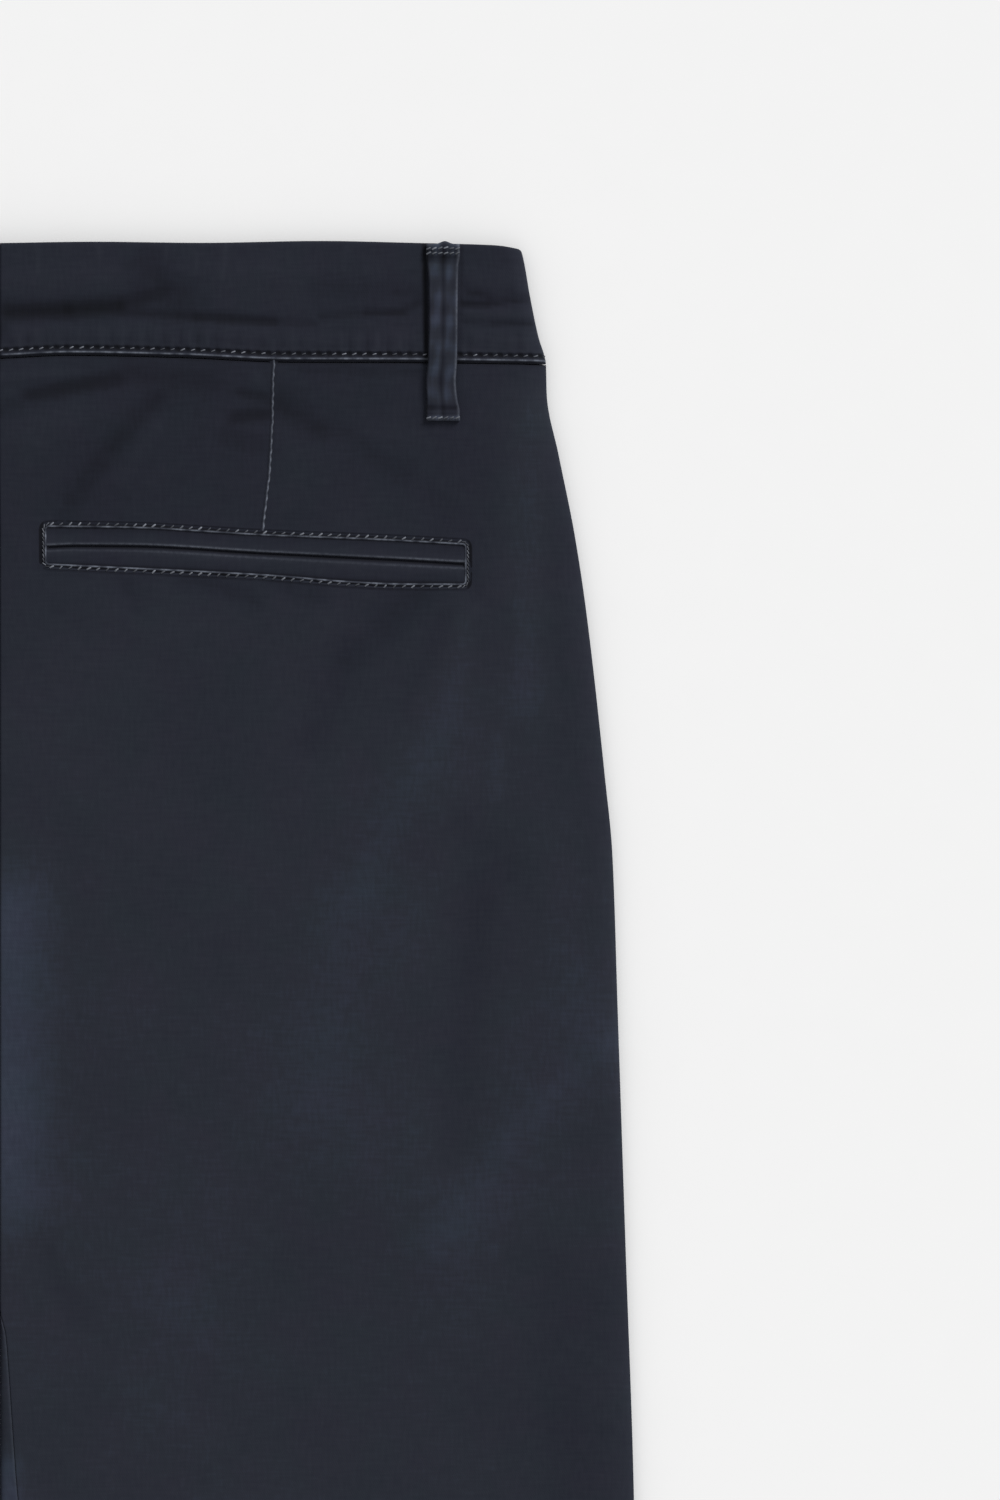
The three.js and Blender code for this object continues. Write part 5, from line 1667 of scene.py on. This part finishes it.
def stitch_tree():
    tree = bpy.data.node_groups.new("stitch row", "GeometryNodeTree")
    sockets = {
        "Lines": "NodeSocketGeometry", **dict.fromkeys(STITCH_SIZES, FLOAT),
        "Seed": "NodeSocketInt", "Material": "NodeSocketMaterial",
    }
    for label, kind in sockets.items():
        tree.interface.new_socket(label, in_out="INPUT", socket_type=kind)
    tree.interface.new_socket("Stitches", in_out="OUTPUT", socket_type="NodeSocketGeometry")
    given = tree.nodes.new("NodeGroupInput").outputs

    def node(kind, inputs, **settings):
        return put(tree, kind, settings, inputs).outputs

    def random(least, most, seed):
        return node("FunctionNodeRandomValue", {2: least, 3: most, 8: seed}, data_type="FLOAT")[1]

    def times(value, factor):
        return calculate(tree, "MULTIPLY", value, factor)

    def point(x, z):
        return node("ShaderNodeCombineXYZ", {0: x, 2: z})[0]

    # the places of the stitches, each turned to the line and to the cloth, and leaning a little
    line = node("GeometryNodeMeshToCurve", {0: given["Lines"]})[0]
    points = node("GeometryNodeCurveToPoints", {"Curve": line, "Length": given["Pitch"]}, mode="LENGTH")
    up = node("GeometryNodeInputNamedAttribute", {"Name": "up"}, data_type="FLOAT_VECTOR")[0]
    ahead = node("FunctionNodeAlignRotationToVector", {"Vector": points["Tangent"]}, axis="X")[0]
    level = node(
        "FunctionNodeAlignRotationToVector", {"Rotation": ahead, "Vector": up}, axis="Z", pivot_axis="X",
    )[0]
    lean = random(times(given["Lean"], 0.7), times(given["Lean"], 1.3), given["Seed"])
    by = node("FunctionNodeEulerToRotation", {0: point(0.0, lean)})[0]
    leaning = node("FunctionNodeRotateRotation", {0: level, 1: by}, rotation_space="LOCAL")[0]
    # one stitch, a bent thread that arches over the cloth and sinks into it at both ends
    half, down = times(given["Stitch length"], 0.5), times(given["Sink"], -1.0)
    arch = node("GeometryNodeCurveQuadraticBezier", {
        "Resolution": STITCH_BENDS, "Start": point(times(half, -1.0), down),
        "Middle": point(0.0, given["Arch"]), "End": point(half, down),
    })[0]
    section = node("GeometryNodeCurvePrimitiveCircle", {
        "Resolution": STITCH_SIDES, "Radius": given["Thread radius"],
    }, mode="RADIUS")[0]
    thread = node("GeometryNodeCurveToMesh", {"Curve": arch, "Profile Curve": section, "Fill Caps": True})[0]
    soft = node("GeometryNodeSetShadeSmooth", {"Geometry": thread})[0]
    # a stitch on every place, each with its own size and shade
    size = random(0.9, 1.08, calculate(tree, "ADD", given["Seed"], 1.0))
    placed = node("GeometryNodeInstanceOnPoints", {
        "Points": points["Points"], "Instance": soft, "Rotation": leaning, "Scale": size,
    })[0]
    shade = random(given["Least rubbed"], given["Most rubbed"], calculate(tree, "ADD", given["Seed"], 2.0))
    shaded = node("GeometryNodeStoreNamedAttribute", {
        "Geometry": placed, "Name": "shade", "Value": shade,
    }, domain="INSTANCE", data_type="FLOAT")[0]
    real = node("GeometryNodeRealizeInstances", {0: shaded})[0]
    finished = node("GeometryNodeSetMaterial", {"Geometry": real, "Material": given["Material"]})[0]
    put(tree, "NodeGroupOutput", inputs={0: finished})
    return tree


STITCH_TREE = stitch_tree()
print("stitch tree has", len(STITCH_TREE.nodes), "nodes")

# %% [markdown]
# The lines follow the cloth that was just made: a row of the waistband, a line of the pocket's rim, a
# line beside the slanted pocket edge, and so on. Each takes its points and its outward direction from
# the paired points of the piece. The kinds of stitch differ in pitch, in thread and in how they lean.

# %% How a row is sewn
def line_beside(cloth, edge, away, rows):
    """A line at a distance from one of a piece's side edges, over the given rows."""
    distance = cloth.distance_from(edge)
    points, outward = [], []
    for i in rows:
        order = np.argsort(distance[i])
        outer, inner = (
            np.array([np.interp(away, distance[i][order], grid[i][order, k]) for k in range(3)])
            for grid in (cloth.outer, cloth.inner)
        )
        points.append(outer)
        outward.append((outer - inner) / np.linalg.norm(outer - inner))
    return np.array(points), np.array(outward)


PLAIN_SOCKETS = ("Lean", "Least rubbed", "Most rubbed")


def sew(name, side, kind, lines, seed):
    """Runs the stitch tree over some lines and keeps the result as one plain mesh."""
    points, ups, edges = [], [], []
    for line, outward in lines:
        first = len(points)
        points.extend(in_metres(line, side))
        ups.extend(np.stack([side * outward[:, 0], -outward[:, 1], outward[:, 2]], axis=-1))
        edges.extend((first + k, first + k + 1) for k in range(len(line) - 1))
    mesh = bpy.data.meshes.new(name)
    mesh.from_pydata([tuple(p) for p in points], edges, [])
    mesh.attributes.new("up", "FLOAT_VECTOR", "POINT").data.foreach_set("vector", np.array(ups).ravel())
    piece = bpy.data.objects.new(name, mesh)
    bpy.context.collection.objects.link(piece)
    modifier = piece.modifiers.new("stitches", "NODES")
    modifier.node_group = STITCH_TREE
    interface = STITCH_TREE.interface.items_tree
    sockets = {item.name: item.identifier for item in interface if item.in_out == "INPUT"}
    for label, value in STITCH_KINDS[kind].items():
        modifier[sockets[label]] = float(value) if label in PLAIN_SOCKETS else value * MM
    modifier[sockets["Seed"]] = seed
    modifier[sockets["Material"]] = THREAD
    evaluated = piece.evaluated_get(bpy.context.evaluated_depsgraph_get())
    sewn = bpy.data.meshes.new_from_object(evaluated)
    piece.modifiers.remove(modifier)
    piece.data = sewn
    bpy.data.meshes.remove(mesh)
    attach(piece, "root")
    print(f"{name}: {len(sewn.polygons)} faces")
    return piece


print("sizes of a stitch:", ", ".join(STITCH_SIZES))

# %% [markdown]
# Each function below picks the lines for one kind of place: the tacks of the loops, the hems, the
# slanted pocket edges and the fly.

# %% The lines to sew
HEM_STITCH = HEM_START + 2.5
SLANT_STITCH, SLANT_STITCH_STOP = 6.5, 14
TACK_DEPTHS = (2.4, 4.7, 61.8)
FLY_CURVE = {"beside": 30, "top": 60, "turn": 172, "end": 204}


def tack_lines(side):
    loop, front_loop = BACK_LOOPS[side], FRONT_LOOPS[side]
    lines = []
    for depth in TACK_DEPTHS:
        row = nearest(loop.outer[:, LOOP_GRID["across"] // 2, 1], depth)
        lines.append(picked_line(loop, row, np.arange(4, LOOP_GRID["across"] - 3)))
    for row in (2, FRONT_LOOP["rows"] - 3):
        lines.append(picked_line(front_loop, row, np.arange(2, FRONT_LOOP["across"] - 2)))
    return lines


def hem_lines(side):
    lines = []
    for cloth in (BACKS[side], FRONTS[side]):
        row = nearest(cloth.outer[:, 5, 1], HEM_STITCH)
        lines.append(picked_line(cloth, row, np.arange(1, cloth.outer.shape[1] - 1)))
    return lines


def slant_lines(side):
    front = FRONTS[side]
    ends = front.outer[:, -1, 1]
    rows = [i for i in range(2, len(ends)) if ends[i] < SLANT["end"] - SLANT_STITCH_STOP]
    return [line_beside(front, "last_column", SLANT_STITCH, rows)]


def fly_line():
    straight = np.linspace(FLY_CURVE["top"], FLY_CURVE["turn"], 40)
    angle = np.linspace(0, QUARTER, 24)[1:]
    x = np.concatenate([0 * straight + FLY_CURVE["beside"], FLY_CURVE["beside"] * np.cos(angle)])
    low = FLY_CURVE["turn"] + (FLY_CURVE["end"] - FLY_CURVE["turn"]) * np.sin(angle)
    depth = np.concatenate([straight, low])
    points = np.stack([x, depth, front_face(LEFT, x, depth)], axis=-1)
    return points, np.tile([0.0, 0.0, -1.0], (len(x), 1))


print("depths of the tacks:", TACK_DEPTHS, "mm")

# %% [markdown]
# Each row is sewn with a seed of its own, so no two rows lean alike.

# %% Sew the stitch rows
stitches = {}
for seed, (side, word) in enumerate(SIDE_NAMES.items(), start=1):
    rows = rim_lines(RIMS[side])
    front_lines = slant_lines(side) + ([fly_line()] if side == LEFT else [])
    for key, name, kind, lines, more in (
        ("band", "waistband_stitches", "topstitch", [SEWN_BANDS[side][1]], 0),
        ("pocket", "back_pocket_stitches", "pocket", rows[:2], 10),
        ("pocket ends", "back_pocket_bars", "bar", rows[2:], 15),
        ("tacks", "belt_loop_tacks", "tack", tack_lines(side), 20),
        ("hem", "hem_stitches", "topstitch", hem_lines(side), 30),
        ("front", "front_stitches", "topstitch", front_lines, 40),
    ):
        stitches[key, side] = sew(f"{name}_{word}", side, kind, lines, seed + more)
print("stitch pieces:", len(stitches))

# %% [markdown]
# ## Attach and finish
#
# The button's solid already has its true shape, so it only takes its material. Each piece of cloth is
# attached to the root, its CAD node is hidden, and its cut size and area are printed.

button.data.materials.clear()
button.data.materials.append(button_material())

for side, word in SIDE_NAMES.items():
    def declared(key, node, slot, cloth, rests_on, *with_pieces):
        sheet_of(cloth, pieces[key, side], f"{node}_{word}")

    front, band, back = pieces["front", side], pieces["band", side], pieces["back", side]
    declared("front", "front", "cloth", FRONTS[side], [floor], stitches["front", side])
    declared("facing", "front_pocket_facing", "cloth", FACINGS[side], [floor])
    declared("back", "back", "cloth", BACKS[side], [front], pieces["rim", side], pieces["dart", side],
             stitches["pocket", side], stitches["pocket ends", side], stitches["hem", side])
    declared("band", "waistband", "waistband", BANDS[side], [front], stitches["band", side])
    declared("upper lip", "back_pocket_upper_lip", "trim_cloth", UPPER_LIPS[side], [back])
    declared("lower lip", "back_pocket_lower_lip", "trim_cloth", LOWER_LIPS[side], [back])
    declared("back loop", "belt_loop_back", "trim_cloth", BACK_LOOPS[side], [band, back],
             stitches["tacks", side])
    declared("front loop", "belt_loop_front", "trim_cloth", FRONT_LOOPS[side], [floor])

# %% [markdown]
# Last come the two boxes, of the CAD and of the finished trousers, printed in millimetres. Blender may
# not change the size of the object, so the second has to match the first but for the small amounts that
# soft cloth stands proud.

# %% Sizes and finish
boxes = {"cad": CAD_BOX, "visual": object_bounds()}
for name, (low, high) in boxes.items():
    print(name, "box in mm:", [round((b - a) / MM, 1) for a, b in zip(low, high)])
